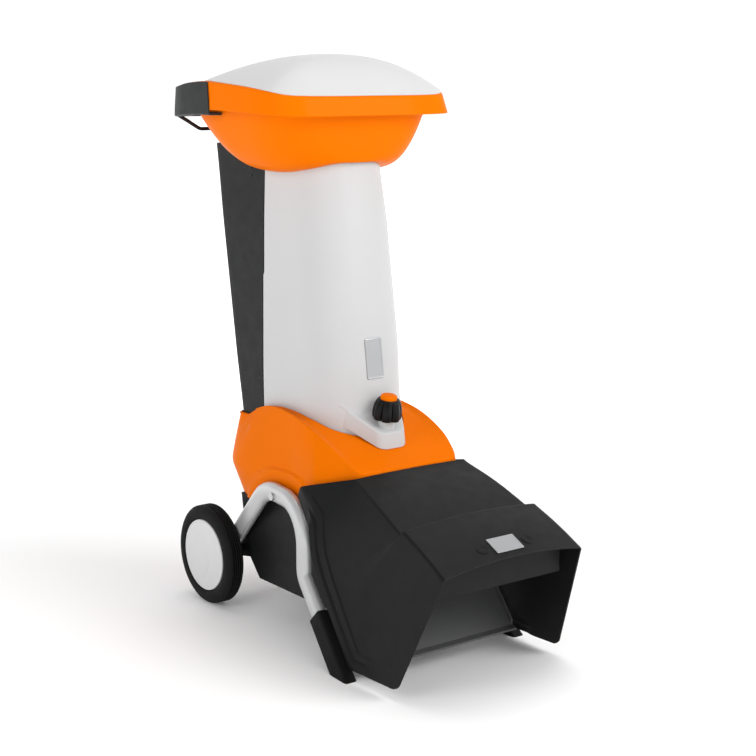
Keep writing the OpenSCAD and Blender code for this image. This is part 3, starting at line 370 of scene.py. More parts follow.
@dataclass(frozen=True)
class Finish:
    """One material of the machine.

    Attributes:
        name: Name of the material.
        colour: Main colour, linear.
        shade: Second colour that drifts in over large patches, linear.
        rough: Lowest and highest roughness.
        grain: Grains in a metre.
        relief: Strength of the surface relief.
        metal: Share of metal.
        coat: Clear layer on top.
        skin: Kind of break-up.
        dust: Share of floor dust near the ground.
        shine: Strength of the mirror reflection, 0.5 being that of a common plastic.
        tint: Colour of the mirror reflection, linear.
    """

    name: str
    colour: Colour
    shade: Colour
    rough: tuple[float, float]
    grain: float = 900.0
    relief: float = 0.05
    metal: float = 0.0
    coat: float = 0.0
    skin: Skin = Skin.MOULDED
    dust: float = 0.0
    shine: float = 0.5
    tint: Colour = (1.0, 1.0, 1.0)

    @cache
    def material(self) -> bpy.types.Material:
        """Builds the material once and returns it."""
        mat = bpy.data.materials.new(self.name)
        mat.use_nodes = True
        tree = mat.node_tree
        place = add(tree, "TexCoord").outputs["Object"]
        skin = add(tree, "Group", {
            "Place": place, "Colour": (*self.colour, 1), "Shade": (*self.shade, 1), "Grain": self.grain,
            "Rough low": self.rough[0], "Rough high": self.rough[1]}, node_tree=skin_group(self.skin)).outputs
        bump = add(tree, "Bump", {"Strength": self.relief, "Distance": RELIEF_DEPTH, "Height": skin["Height"]})
        colour = skin["Colour"]
        if self.dust > 0:
            dusty = {"Place": place, "Colour": colour, "Amount": self.dust}
            colour = add(tree, "Group", dusty, node_tree=dust_group()).outputs["Colour"]
        feed(tree, tree.nodes["Principled BSDF"], {
            "Base Color": colour, "Roughness": skin["Rough"], "Normal": bump.outputs["Normal"],
            "Metallic": self.metal, "Specular IOR Level": self.shine, "Specular Tint": (*self.tint, 1),
            "Coat Weight": self.coat, "Coat Roughness": COAT_ROUGH})
        return mat


def feed(tree: Tree, node: bpy.types.Node, inputs: dict[str | int, object]) -> None:
    """Fills the inputs of a node: a socket is linked, any other value is set."""
    for key, value in inputs.items():
        if isinstance(value, Socket):
            tree.links.new(value, node.inputs[key])
        else:
            node.inputs[key].default_value = value


def add(tree: Tree, kind: str, inputs: dict[str | int, object] | None = None,
        **settings: object) -> bpy.types.Node:
    """Adds a shader node to a tree.

    Args:
        tree: The tree.
        kind: Kind of node, as in the name of its class after ShaderNode.
        inputs: Sockets or values of its inputs.
        **settings: Its other settings, which are made first.

    Returns:
        The new node.
    """
    node = tree.nodes.new(f"ShaderNode{kind}")
    for key, value in settings.items():
        setattr(node, key, value)
    feed(tree, node, inputs or {})
    return node


def ramp(tree: Tree, value: Socket, start: float, end: float, low: object = 0.0,
         high: object = 1.0, **settings: object) -> Socket:
    """Adds a map of a value from the span start to end onto the span low to high, and returns its result."""
    spans = {"Value": value, "From Min": start, "From Max": end, "To Min": low, "To Max": high}
    return add(tree, "MapRange", spans, **settings).outputs["Result"]


def noise(tree: Tree, place: Socket, scale: object, detail: float) -> Socket:
    """Adds a noise texture and returns its value."""
    return add(tree, "TexNoise", {"Vector": place, "Scale": scale, "Detail": detail}).outputs["Fac"]


def blend(tree: Tree, share: Socket, a: object, b: object) -> Socket:
    """Adds a blend of two colours and returns its result."""
    return add(tree, "Mix", {"Factor": share, "A": a, "B": b}, data_type="RGBA").outputs["Result"]


def new_group(name: str, inputs: dict[str, str], outputs: dict[str, str]) -> Tree:
    """Shader node group with named sockets and nothing between them.

    Args:
        name: Name of the group.
        inputs: Name and kind of each input socket.
        outputs: Name and kind of each output socket.

    Returns:
        The group, with its input and output nodes.
    """
    group = bpy.data.node_groups.new(name, "ShaderNodeTree")
    for direction, sockets in (("Input", inputs), ("Output", outputs)):
        group.nodes.new(f"NodeGroup{direction}")
        for label, kind in sockets.items():
            group.interface.new_socket(label, in_out=direction.upper(), socket_type=f"NodeSocket{kind}")
    return group


@cache
def skin_group(skin: Skin) -> Tree:
    """Group that breaks up colour, roughness and height, in even grain or in the drawn-out lines of brushed metal."""
    group = new_group(skin.value, {"Place": "Vector", "Colour": "Color", "Shade": "Color", "Grain": "Float",
                                   "Rough low": "Float", "Rough high": "Float"},
                      {"Colour": "Color", "Rough": "Float", "Height": "Float"})
    given = group.nodes["Group Input"].outputs
    place = given["Place"]
    stretch = (0.02, 1, 1) if skin is Skin.BRUSHED else (1, 1, 1)
    grain = add(group, "Mapping", {"Vector": place, "Scale": stretch}).outputs["Vector"]
    feed(group, group.nodes["Group Output"], {
        "Colour": blend(group, noise(group, place, 6.0, 2.0), given["Colour"], given["Shade"]),
        "Rough": ramp(group, noise(group, place, 38.0, 3.0), 0.3, 0.7, given["Rough low"], given["Rough high"]),
        "Height": noise(group, grain, given["Grain"], 2.0)})
    return group


@cache
def dust_group() -> Tree:
    """Group that lightens a colour with patchy dust over the lowest hand's breadth above the floor."""
    group = new_group("floor_dust", {"Place": "Vector", "Colour": "Color", "Amount": "Float"}, {"Colour": "Color"})
    given = group.nodes["Group Input"].outputs
    height = add(group, "SeparateXYZ", {"Vector": given["Place"]}).outputs["Z"]
    low = ramp(group, height, 0.14, 0.0, 0.0, given["Amount"])
    share = add(group, "Math", {0: low, 1: noise(group, given["Place"], 160.0, 4.0)}, operation="MULTIPLY")
    dust = blend(group, share.outputs["Value"], given["Colour"], (0.32, 0.30, 0.27, 1))
    feed(group, group.nodes["Group Output"], {"Colour": dust})
    return group


ORANGE = Finish("orange_moulding", (0.760, 0.152, 0.0010), (0.742, 0.146, 0.0008), (0.28, 0.34), 1400, 0.02,
                coat=0.02, shine=0.01, tint=(1.0, 0.46, 0.10))
PALE = Finish("pale_moulding", (0.520, 0.522, 0.524), (0.500, 0.502, 0.504), (0.36, 0.44), 1400, 0.03, shine=0.2)
LID = Finish("lid_moulding", (0.545, 0.545, 0.546), (0.530, 0.530, 0.531), (0.34, 0.41), 1400, 0.03, shine=0.2)
HUB = Finish("hub_moulding", (0.640, 0.642, 0.644), (0.610, 0.612, 0.615), (0.34, 0.42), 1200, 0.03, dust=0.04,
             shine=0.2)
DARK = Finish("dark_moulding", (0.0088, 0.0091, 0.0092), (0.0074, 0.0077, 0.0078), (0.40, 0.50), 2200, 0.16,
              shine=0.14)
CHUTE = Finish("chute_moulding", (0.0094, 0.0096, 0.0097), (0.0082, 0.0084, 0.0085), (0.38, 0.48), 2400, 0.18,
               dust=0.02, shine=0.10)
GRIP = Finish("grip_moulding", (0.0245, 0.0255, 0.0260), (0.0210, 0.0220, 0.0224), (0.46, 0.56), 2600, 0.22,
              shine=0.18)
BLACK = Finish("black_moulding", (0.0062, 0.0064, 0.0066), (0.0050, 0.0052, 0.0054), (0.32, 0.42), 2000, 0.12,
               shine=0.14)
RUBBER = Finish("tyre_compound", (0.0110, 0.0112, 0.0114), (0.0096, 0.0098, 0.0100), (0.56, 0.70), 2600, 0.30,
                shine=0.08)
SOLE = Finish("foot_compound", (0.0100, 0.0102, 0.0104), (0.0086, 0.0088, 0.0090), (0.46, 0.58), 2400, 0.24,
              shine=0.05)
# Painted light on the discharge ramp: a grey far lighter than the black plastic of the chute round it, standing in for
# the light that falls on the ramp's upward face.
RAMP_PAINTED_LIGHT = Finish("ramp_painted_light", (0.112, 0.1135, 0.1145), (0.100, 0.1015, 0.1025), (0.40, 0.50), 2200, 0.16, shine=0.2)
COAT = Finish("silver_coat", (0.510, 0.514, 0.520), (0.496, 0.500, 0.506), (0.30, 0.34), 900, 0.01, 0.45, 0.2,
              shine=0.3)
WIRE = Finish("black_coat", (0.006, 0.006, 0.0065), (0.005, 0.005, 0.0055), (0.26, 0.34), 1800, 0.06, coat=0.1,
              shine=0.3)
LABEL = Finish("label_metal", (0.400, 0.405, 0.415), (0.350, 0.355, 0.365), (0.30, 0.40), 1500, 0.12, 0.6,
               skin=Skin.BRUSHED)
CAST = Finish("alloy_casting", (0.44, 0.45, 0.46), (0.36, 0.37, 0.38), (0.45, 0.60), 700, 0.35, 0.9)
STEEL = Finish("turned_steel", (0.56, 0.57, 0.58), (0.48, 0.49, 0.50), (0.22, 0.34), 1600, 0.10, 1.0,
               skin=Skin.BRUSHED)
BLADE = Finish("ground_steel", (0.50, 0.51, 0.53), (0.44, 0.45, 0.47), (0.24, 0.36), 1800, 0.14, 1.0,
               skin=Skin.BRUSHED)
BRASS = Finish("turned_brass", (0.70, 0.50, 0.20), (0.62, 0.43, 0.16), (0.24, 0.34), 1500, 0.08, 1.0)
GREEN = Finish("start_moulding", (0.020, 0.270, 0.050), (0.016, 0.230, 0.042), (0.26, 0.34), 1200, 0.03, shine=0.3)
RED = Finish("stop_moulding", (0.560, 0.018, 0.012), (0.500, 0.015, 0.010), (0.26, 0.34), 1200, 0.03, shine=0.3)
SCREW = Finish("screw_black", (0.008, 0.008, 0.0085), (0.006, 0.006, 0.0065), (0.40, 0.50), 1800, 0.10, shine=0.3)

SLOT_FINISH: dict[str, Finish] = {
    "orange_plastic": ORANGE, "pale_plastic": PALE, "hub_plastic": HUB, "dark_plastic": DARK, "black_plastic": BLACK,
    "foot_rubber": SOLE, "tyre_rubber": RUBBER, "leg_paint": COAT, "black_paint": WIRE, "plate_metal": LABEL,
    "cast_alloy": CAST, "bright_steel": STEEL, "blade_steel": BLADE, "insert_brass": BRASS, "start_green": GREEN,
    "stop_red": RED,
}
# The discharge ramp takes the grey ramp finish with its painted light; the screws take plain black.
NODE_FINISH: dict[str, Finish] = {"discharge_ramp": RAMP_PAINTED_LIGHT, "column_screws": SCREW}


def piece(name: str, patches: Sequence[Patch], body: str, finish: Finish, slot: str, *nodes: str,
          sharp: float = 38.0, wall: float = 0.0, edge: float = 0.0) -> None:
    """Makes one piece, dresses it and hangs it on its body.

    Args:
        name: Name of the piece.
        patches: Its skins.
        body: Name of the body it rides on.
        finish: Its material.
        slot: The record's slot that the finish stands for; not used.
        *nodes: CAD nodes that it stands for.
        sharp: Angle in degrees past which an edge is shaded sharp.
        wall: Thickness in millimetres that an open skin is given on its inner side.
        edge: Width in millimetres to which sharp edges are rounded.
    """
    obj = make(name, patches, sharp)
    if wall:
        solid = obj.modifiers.new("wall", "SOLIDIFY")
        solid.thickness = wall * MM
        solid.offset = -1
        solid.use_quality_normals = True
    if edge:
        bevel = obj.modifiers.new("edge", "BEVEL")
        bevel.width = edge * MM
        bevel.segments = BEVEL_STEPS
        bevel.limit_method = "ANGLE"
        bevel.angle_limit = math.radians(BEVEL_FROM)
        bevel.harden_normals = True
    obj.data.materials.append(finish.material())
    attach(obj, body)
    if nodes:
        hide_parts(*nodes)
    log.info("%s: %d faces on %s", obj.name, len(obj.data.polygons), body)


@dataclass
class Column:
    """Feed column: pale front shell, dark rear shell, lock tongue and bare plate."""

    half_low: float = 110.0
    half_top: float = 102.0
    half_span: float = 530.0
    foot: float = 430.0
    low: float = 400.0
    top: float = 1008.0
    nose: float = 118.0
    square: float = 0.76
    round_foot: float = 0.96
    square_from: float = 440.0
    square_run: float = 170.0
    belly_low: float = 420.0
    belly_top: float = 985.0
    belly_run: float = 150.0
    front_mid: float = 354.0
    front_mid_z: float = 625.0
    front_lean: float = 0.135
    flare: float = 0.0012
    flare_low: float = 478.0
    flare_top: float = 560.0
    seam: float = 117.0
    seam_step: float = 3.5
    seam_low: float = 738.0
    seam_run: float = 7.0
    rear_foot: float = 24.0
    rear_run: float = 0.185
    corner: float = 14.0
    wall: float = 4.0
    tongue_front: float = 430.0
    tongue_half: float = 30.0
    tongue_root: float = 347.0
    tongue_flare: float = 46.0
    tongue_bend: float = 24.0
    tongue_from: float = 362.0
    tongue_high: float = 482.0
    tongue_fall: float = 0.63
    tongue_low: float = 446.64
    tongue_low_fall: float = 0.56
    plate_mid: float = 583.0

    def swell(self, z: Grid) -> Grid:
        """Share of the slight belly at a height."""
        z = np.asarray(z, float)
        return ease((z - self.belly_low) / self.belly_run) * ease((self.belly_top - z) / self.belly_run)

    def half(self, z: Grid) -> Grid:
        """Half width at a height."""
        return mix(self.half_low, self.half_top, (z - self.foot) / self.half_span) + 2 * self.swell(z)

    def power(self, z: Grid) -> Grid:
        """Power of the front's outline at a height: round at the foot, squarer above."""
        return mix(self.round_foot, self.square, ease((np.asarray(z, float) - self.square_from) / self.square_run))

    def bow(self, x: Grid, z: Grid) -> Grid:
        """How far the front falls back from its foremost line at a distance from the middle plane."""
        share = np.clip(np.abs(x) / self.half(z), 0, 1) ** (1 / self.power(z))
        return self.nose * (1 - spow(np.sqrt(1 - share ** 2), self.power(z)))

    def front(self, z: Grid) -> Grid:
        """Reach of the front at a height: a straight lean that flares out towards the foot."""
        flare = self.flare * np.maximum(0, self.flare_top - np.maximum(z, self.flare_low)) ** 2
        return self.front_mid - self.front_lean * (z - self.front_mid_z) + flare + 6 * self.swell(z)

    def rear(self, z: Grid) -> Grid:
        """Place of the flat rear at a height."""
        return self.rear_foot - self.rear_run * (z - self.foot)

    def seam_at(self, z: Grid) -> Grid:
        """Place of the seam, stepped forward over its upper part."""
        up, down = ease((z - self.seam_low) / self.seam_run), ease((z - self.belly_top) / self.seam_run)
        return self.seam + self.seam_step * up * (1 - down)

    def front_rows(self, z: Grid, grow: float = 0.0) -> Grid:
        """Front outline at each height, from the left seam round the nose to the right seam."""
        z = np.asarray(z, float)[:, None]
        a, b, c = self.half(z) + grow, self.nose + grow, self.front(z) - self.nose
        t = np.radians(np.linspace(180, 0, 97))
        s = np.linspace(0, 1, 14)[:-1]
        side = mix(self.seam_at(z), c, s)
        x = np.concatenate([-a + 0 * s, a * spow(np.cos(t), self.power(z)), a + 0 * s], axis=1)
        d = np.concatenate([side, c + b * spow(np.sin(t), self.power(z)), side[:, ::-1]], axis=1)
        return stack(x, d, z)

    def rear_rows(self, z: Grid, grow: float = 0.0, gap: float = 1.6) -> Grid:
        """Rear outline at each height, from the right seam round the flat back to the left seam."""
        z = np.asarray(z, float)[:, None]
        a, b, r = self.half(z) + grow, self.rear(z) - grow, self.corner + grow
        s = np.linspace(0, 1, 12)[:-1]
        t = np.radians(np.linspace(0, 90, 9))
        side = mix(self.seam_at(z) - gap, b + r, s)
        flat = np.linspace(1, 0, 9)[1:]
        x_half = np.concatenate([a + 0 * s, a - r + r * np.cos(t), (a - r) * flat], axis=1)
        d_half = np.concatenate([side, b + r - r * np.sin(t), b + 0 * flat], axis=1)
        x = np.concatenate([x_half, -x_half[:, -2::-1]], axis=1)
        d = np.concatenate([d_half, d_half[:, -2::-1]], axis=1)
        return stack(x, d, z)

    def build_shells(self) -> None:
        """Makes the two halves of the column, with a shadow gap at the seam, and the shelf with its hinge ears."""
        z = np.unique(np.concatenate([np.linspace(self.low, self.top, 90), np.linspace(734, 750, 9)]))
        inside = (0.0, 200.0, 700.0)
        piece("column_front_shell", [Patch(self.front_rows(z), inside=inside)], "column", PALE, "pale_plastic",
              "column_front", wall=self.wall, edge=1.2)
        piece("column_rear_shell", [Patch(self.rear_rows(z), inside=inside)], "column", DARK, "dark_plastic",
              "column_rear", wall=self.wall, edge=1.0)
        near, far = self.rear(self.top) + 62, self.rear(self.top) + 3
        under = self.top - self.wall
        deck = np.array([(near, under), (far, under), (far, self.top), (near, self.top)])
        ear = [arc(*TILT_EYE, 11.0, 330, 120, 24), [(13.0, 496.0), (26.0, 430.0)]]
        piece("column_top_shelf", [prism(deck, -97, 97), *twins(ear, 61, 5)], "column", DARK, "dark_plastic",
              edge=0.8)

    def tongue_line(self) -> tuple[Grid, Grid]:
        """Plan line (x, d) of the tongue's upper edge from its left root round the tip to its right root."""
        half, tip, wide = self.tongue_half, self.tongue_front, self.tongue_half + self.tongue_flare
        line = bent_path([(-wide, self.tongue_root), (-half, tip), (half, tip), (wide, self.tongue_root)],
                         [self.tongue_bend] * 2, 24)
        step = np.concatenate([[0], np.cumsum(np.linalg.norm(np.diff(line, axis=0), axis=1))])
        even = np.linspace(0, step[-1], 121)
        return np.interp(even, step, line[:, 0]), np.interp(even, step, line[:, 1])

    def tongue_top(self, d: Grid) -> Grid:
        """Height of the tongue's sloping top."""
        return self.tongue_high - self.tongue_fall * (d - self.tongue_from)

    def tongue_under(self, d: Grid) -> Grid:
        """Height of the tongue's sloping underside."""
        return self.tongue_low - self.tongue_low_fall * (d - self.tongue_from)

    def tongue_rows(self) -> Grid:
        """Skin of the tongue: from inside the column over the sloping top, down the side and back inside."""
        x, d = self.tongue_line()
        mid_z, root_z = 460.0, 470.0
        middle = float(self.front(mid_z)) - self.nose
        angle = np.arctan2((d - middle) / self.nose, x / self.half(mid_z))
        near_x = self.half(root_z) * spow(np.cos(angle), self.power(root_z))
        near_d = self.front(root_z) - self.nose + self.nose * spow(np.sin(angle), self.power(root_z))
        heel_x, heel_d = mix(near_x, x, 0.1), mix(near_d, d, 0.1)
        core_x, core_d, foot_d = near_x * 0.8, near_d - 24, d + 4
        high = self.tongue_top(near_d) + 9
        rows = softened([stack(core_x, core_d, high), stack(near_x * 0.985, near_d - 1.6, high),
                         stack(heel_x, heel_d, self.tongue_top(heel_d)), stack(x, d, self.tongue_top(d)),
                         stack(x * 1.03, foot_d, self.tongue_under(foot_d)),
                         stack(core_x, core_d, self.tongue_under(core_d))], [1.0, 7.0, 4.5, 1.5], 9)
        return np.swapaxes(rows, 0, 1)

    def build_tongue(self) -> None:
        """Makes the lock tongue and the neck under the knob."""
        lock = LockKnob()
        neck = [(7, -26), (18.4, -24), (18.2, -6), (18.0, 2), (17.6, 6), (17.0, 8.4), (16.0, 9.8), (14.6, 10.2),
                (6.0, 10.2)]
        piece("lock_tongue", [Patch(self.tongue_rows(), around=True, lids=True, inside=(0, 380, 435)),
                              Patch(revolved(neck, lock.foot, lock.axis), around=True)],
              "column", PALE, "pale_plastic", sharp=60)

    def build_plate(self) -> None:
        """Makes the bare plate: a thin sheet with a raised border that follows the column's round nose."""
        x, up, lift = np.moveaxis(plate_rings(21.0, 41.5, 4.0, 6, [
            (0.0, 0.35), (0.0, 1.3), (0.5, 1.7), (2.2, 1.7), (2.6, 1.3), (3.2, 1.2), (9.0, 1.2), (14.0, 1.2),
            (20.5, 1.2)]), -1, 0)
        z = up + self.plate_mid
        sheet = stack(x, self.front(z) - self.bow(x, z) + lift, z)
        piece("column_plate_sheet", [Patch(sheet, around=True, lids=True)], "column", LABEL, "plate_metal",
              "column_plate")

    def build(self) -> None:
        """Makes every piece of the column."""
        self.build_shells()
        self.build_tongue()
        self.build_plate()


@dataclass
class LockKnob:
    """Fluted lock knob with its coloured cap, leaning forward on the tongue."""

    ahead: float = 406.0
    height: float = 453.0
    lean: float = 10.0
    radius: float = 30.8
    lobes: int = 7

    @property
    def foot(self) -> tuple[float, float, float]:
        """Point where the knob's axis meets the tongue."""
        return (0.0, self.ahead, self.height)

    @property
    def axis(self) -> tuple[float, float, float]:
        """Direction of the knob's axis."""
        a = math.radians(self.lean)
        return (0.0, math.sin(a), math.cos(a))

    def build(self) -> None:
        """Makes the knob: a turned profile whose radius swells at each lobe, and the cap on top."""
        profile = np.array([
            (7, 15.2), (18.6, 15.2), (20.5, 13.0), (26.4, 11.8), (28.2, 12.4), (29.2, 14.4), (29.6, 18.0),
            (29.6, 27.0), (29.0, 33.0), (27.6, 40.0), (25.8, 46.0), (24.0, 50.6), (22.4, 53.4), (20.4, 54.8),
            (18.4, 54.8), (17.8, 52.5), (10.0, 52.5)])
        turns = 210
        grid = revolved(profile, self.foot, self.axis, turns)
        a = full_turn(turns)
        wave = np.abs(np.cos(a * self.lobes / 2)) ** 0.6
        deep = ((profile[:, 0] > 22) * ease((56.5 - profile[:, 1]) / 12))[:, None]
        share = np.minimum(1.04 - 0.23 * deep * (1 - wave) - 0.04 * (1 - deep), self.radius / profile[:, 0].max())
        middle = (np.asarray(self.foot) + profile[:, 1:] * np.asarray(self.axis))[:, None]
        piece("lock_knob_grip", [Patch(middle + (grid - middle) * share[..., None], around=True)], "lock_knob", BLACK,
              "black_plastic", "lock_knob", sharp=60)
        cap = [(0.0, 50.0), (17.2, 50.0), (17.2, 58.6), (16.9, 60.4), (16.0, 61.8), (14.4, 62.6), (11.0, 63.1),
               (6.0, 63.4), (0.0, 63.5)]
        piece("lock_knob_cap", [Patch(revolved(cap, self.foot, self.axis), around=True)], "lock_knob", ORANGE,
              "orange_plastic", "knob_cap")


@dataclass
class Leg:
    """Bent tube leg with its rubber foot, on one side (-1 left, 1 right)."""

    side: int
    width: float = 24.0
    depth: float = 40.0
    axle_x: float = 136.0
    foot_x: float = 214.0
    foot_ahead: float = 551.0
    front: float = 385.0
    rear: float = 210.0
    top: float = 303.0
    knee: float = 160.0
    sleeve: float = 140.0
    hidden: float = 34.0
    sides: int = 56

    def across(self, d: Grid) -> Grid:
        """Distance of the tube from the middle plane at a place along the machine."""
        return mix(self.axle_x, self.foot_x, d / self.foot_ahead)

    def corner(self, d: float, z: float) -> tuple[float, float, float]:
        """Point of the tube's line."""
        return (self.side * float(self.across(d)), d, z)

    def path(self) -> Grid:
        """Line of the tube from the foot over the arch to the axle."""
        past = -16
        end_z = AXLE_Z + past * (self.top - AXLE_Z) / self.rear
        places = ((self.foot_ahead, 0), (self.front, self.knee), (self.front, self.top), (self.rear, self.top),
                  (past, end_z))
        return bent_path([self.corner(d, z) for d, z in places], [34, 85, 120], 16)

    def build(self) -> None:
        """Makes the tube, which starts inside the sleeve, and the rubber sleeve of its foot, cut level at the floor."""
        name = SIDES[self.side]
        line = self.path()
        base, up = line[0].copy(), unit(line[1] - line[0])
        line[0] = base + up * self.hidden
        tube = refined(sweep(line, self.width, self.depth, 0.82, self.sides), 10)
        piece(f"leg_tube_{name}", [Patch(tube, around=True, lids=True)], "base", COAT, "leg_paint", f"leg_{name}",
              sharp=60)
        steps = np.array([0.0, 0.3, self.sleeve - 2.0, self.sleeve - 0.4, self.sleeve])[:, None]
        grow = np.array([5.0, 5.0, 5.0, 4.4, 2.0])[:, None]
        a = full_turn(self.sides)
        u = (self.width + grow) / 2 * spow(np.cos(a), 0.3)
        v = (self.depth + grow) / 2 * spow(np.sin(a), 0.3)
        across = unit(ACROSS - up * up[0])
        square = np.cross(up, across)
        grid = base + up * steps[..., None] + across * u[..., None] + square * v[..., None]
        floor = grid[0] - up * (grid[0][:, 2:] / up[2])
        grid[0], grid[1] = floor, floor + up * 0.6
        piece(f"foot_sleeve_{name}", [Patch(grid, around=True, lids=True)], "base", SOLE, "foot_rubber",
              f"foot_{name}", edge=1.0)


@dataclass
class Wheel:
    """Transport wheel on one side (-1 left, 1 right): grooved tyre and dished hub cap."""

    side: int
    radius: float = 110.0
    face: float = 200.0
    tyre: float = 39.0
    rim: float = 80.0
    grooves: int = 4

    def tyre_profile(self) -> Grid:
        """Closed section of the tyre: bulged side walls, soft shoulders and grooves across the tread."""
        face, back = self.face, self.face - self.tyre
        pitch = (self.tyre - 12.5) / (self.grooves + 1)
        groove = [(0, 1.8), (-0.7, 1.3), (-4.2, 1.0), (-4.2, -1.0), (-0.7, -1.3), (0, -1.8)]
        runs = [(self.rim, face, [(0, -4), (1.2, -2.2), (5, -0.6), (12, 0)]),
                (self.radius, face, [(-14, -0.4), (-7, -2.4), (-2.6, -5.6), (-0.5, -8.6)]),
                *[(self.radius, face - 8.5 - k * pitch, groove) for k in range(1, self.grooves + 1)],
                (self.radius, back, [(0, 4.0), (-0.8, 2.2), (-3.0, 0.8), (-8.0, 0)]),
                (self.rim, back, [(8.0, 0), (1.2, 2.2), (0, 4.0), (-0.4, 8)]),
                (self.rim, face, [(-0.4, -8)])]
        return np.concatenate([np.array(points, float) + (r, h) for r, h, points in runs])

    def cap_grid(self) -> Grid:
        """Hub cap skin: a shallow dome with a rounded lip, and a crescent hollow pressed into it."""
        lip = np.array([(-1.2, -6.0), (-0.9, -2.6), (-1.6, -1.3), (-3.4, -0.6), (-6.0, -1.0), (-8.0, -1.5)])
        s = np.linspace(0, 1, 46)
        dome = np.stack([(self.rim - 9) * (1 - s), mix(-1.4, 2.2, s ** 0.55)], axis=1)
        r, h = np.split(np.concatenate([lip + (self.rim, 0), dome]), 2, axis=1)
        a = full_turn(144)
        y, z = r * np.cos(a), r * np.sin(a)
        hollow = 0.99 * ease((np.hypot(y + 30, z + 6) - 52) / 3.5) * ease((self.rim - 12 - r) / 4)
        disc = 0.2 * ease((38 - np.hypot(y - 14, z - 10)) / 4)
        return stack(self.side * (self.face + h - hollow + disc), y, z + AXLE_Z)

    def build(self) -> None:
        """Makes the tyre and the hub cap."""
        name = SIDES[self.side]
        tread = revolved(self.tyre_profile(), (0.0, 0.0, AXLE_Z), (self.side, 0, 0), 128)
        piece(f"tyre_tread_{name}", [Patch(tread, around=True, along=True)], f"wheel_{name}", RUBBER, "tyre_rubber",
              f"tyre_{name}", sharp=55)
        cap = Patch(self.cap_grid(), around=True, inside=(self.side * 170.0, 0, AXLE_Z))
        piece(f"hub_cap_{name}_disc", [cap], f"wheel_{name}", HUB, "hub_plastic", f"hub_cap_{name}", sharp=60,
              wall=2.5, edge=0.5)


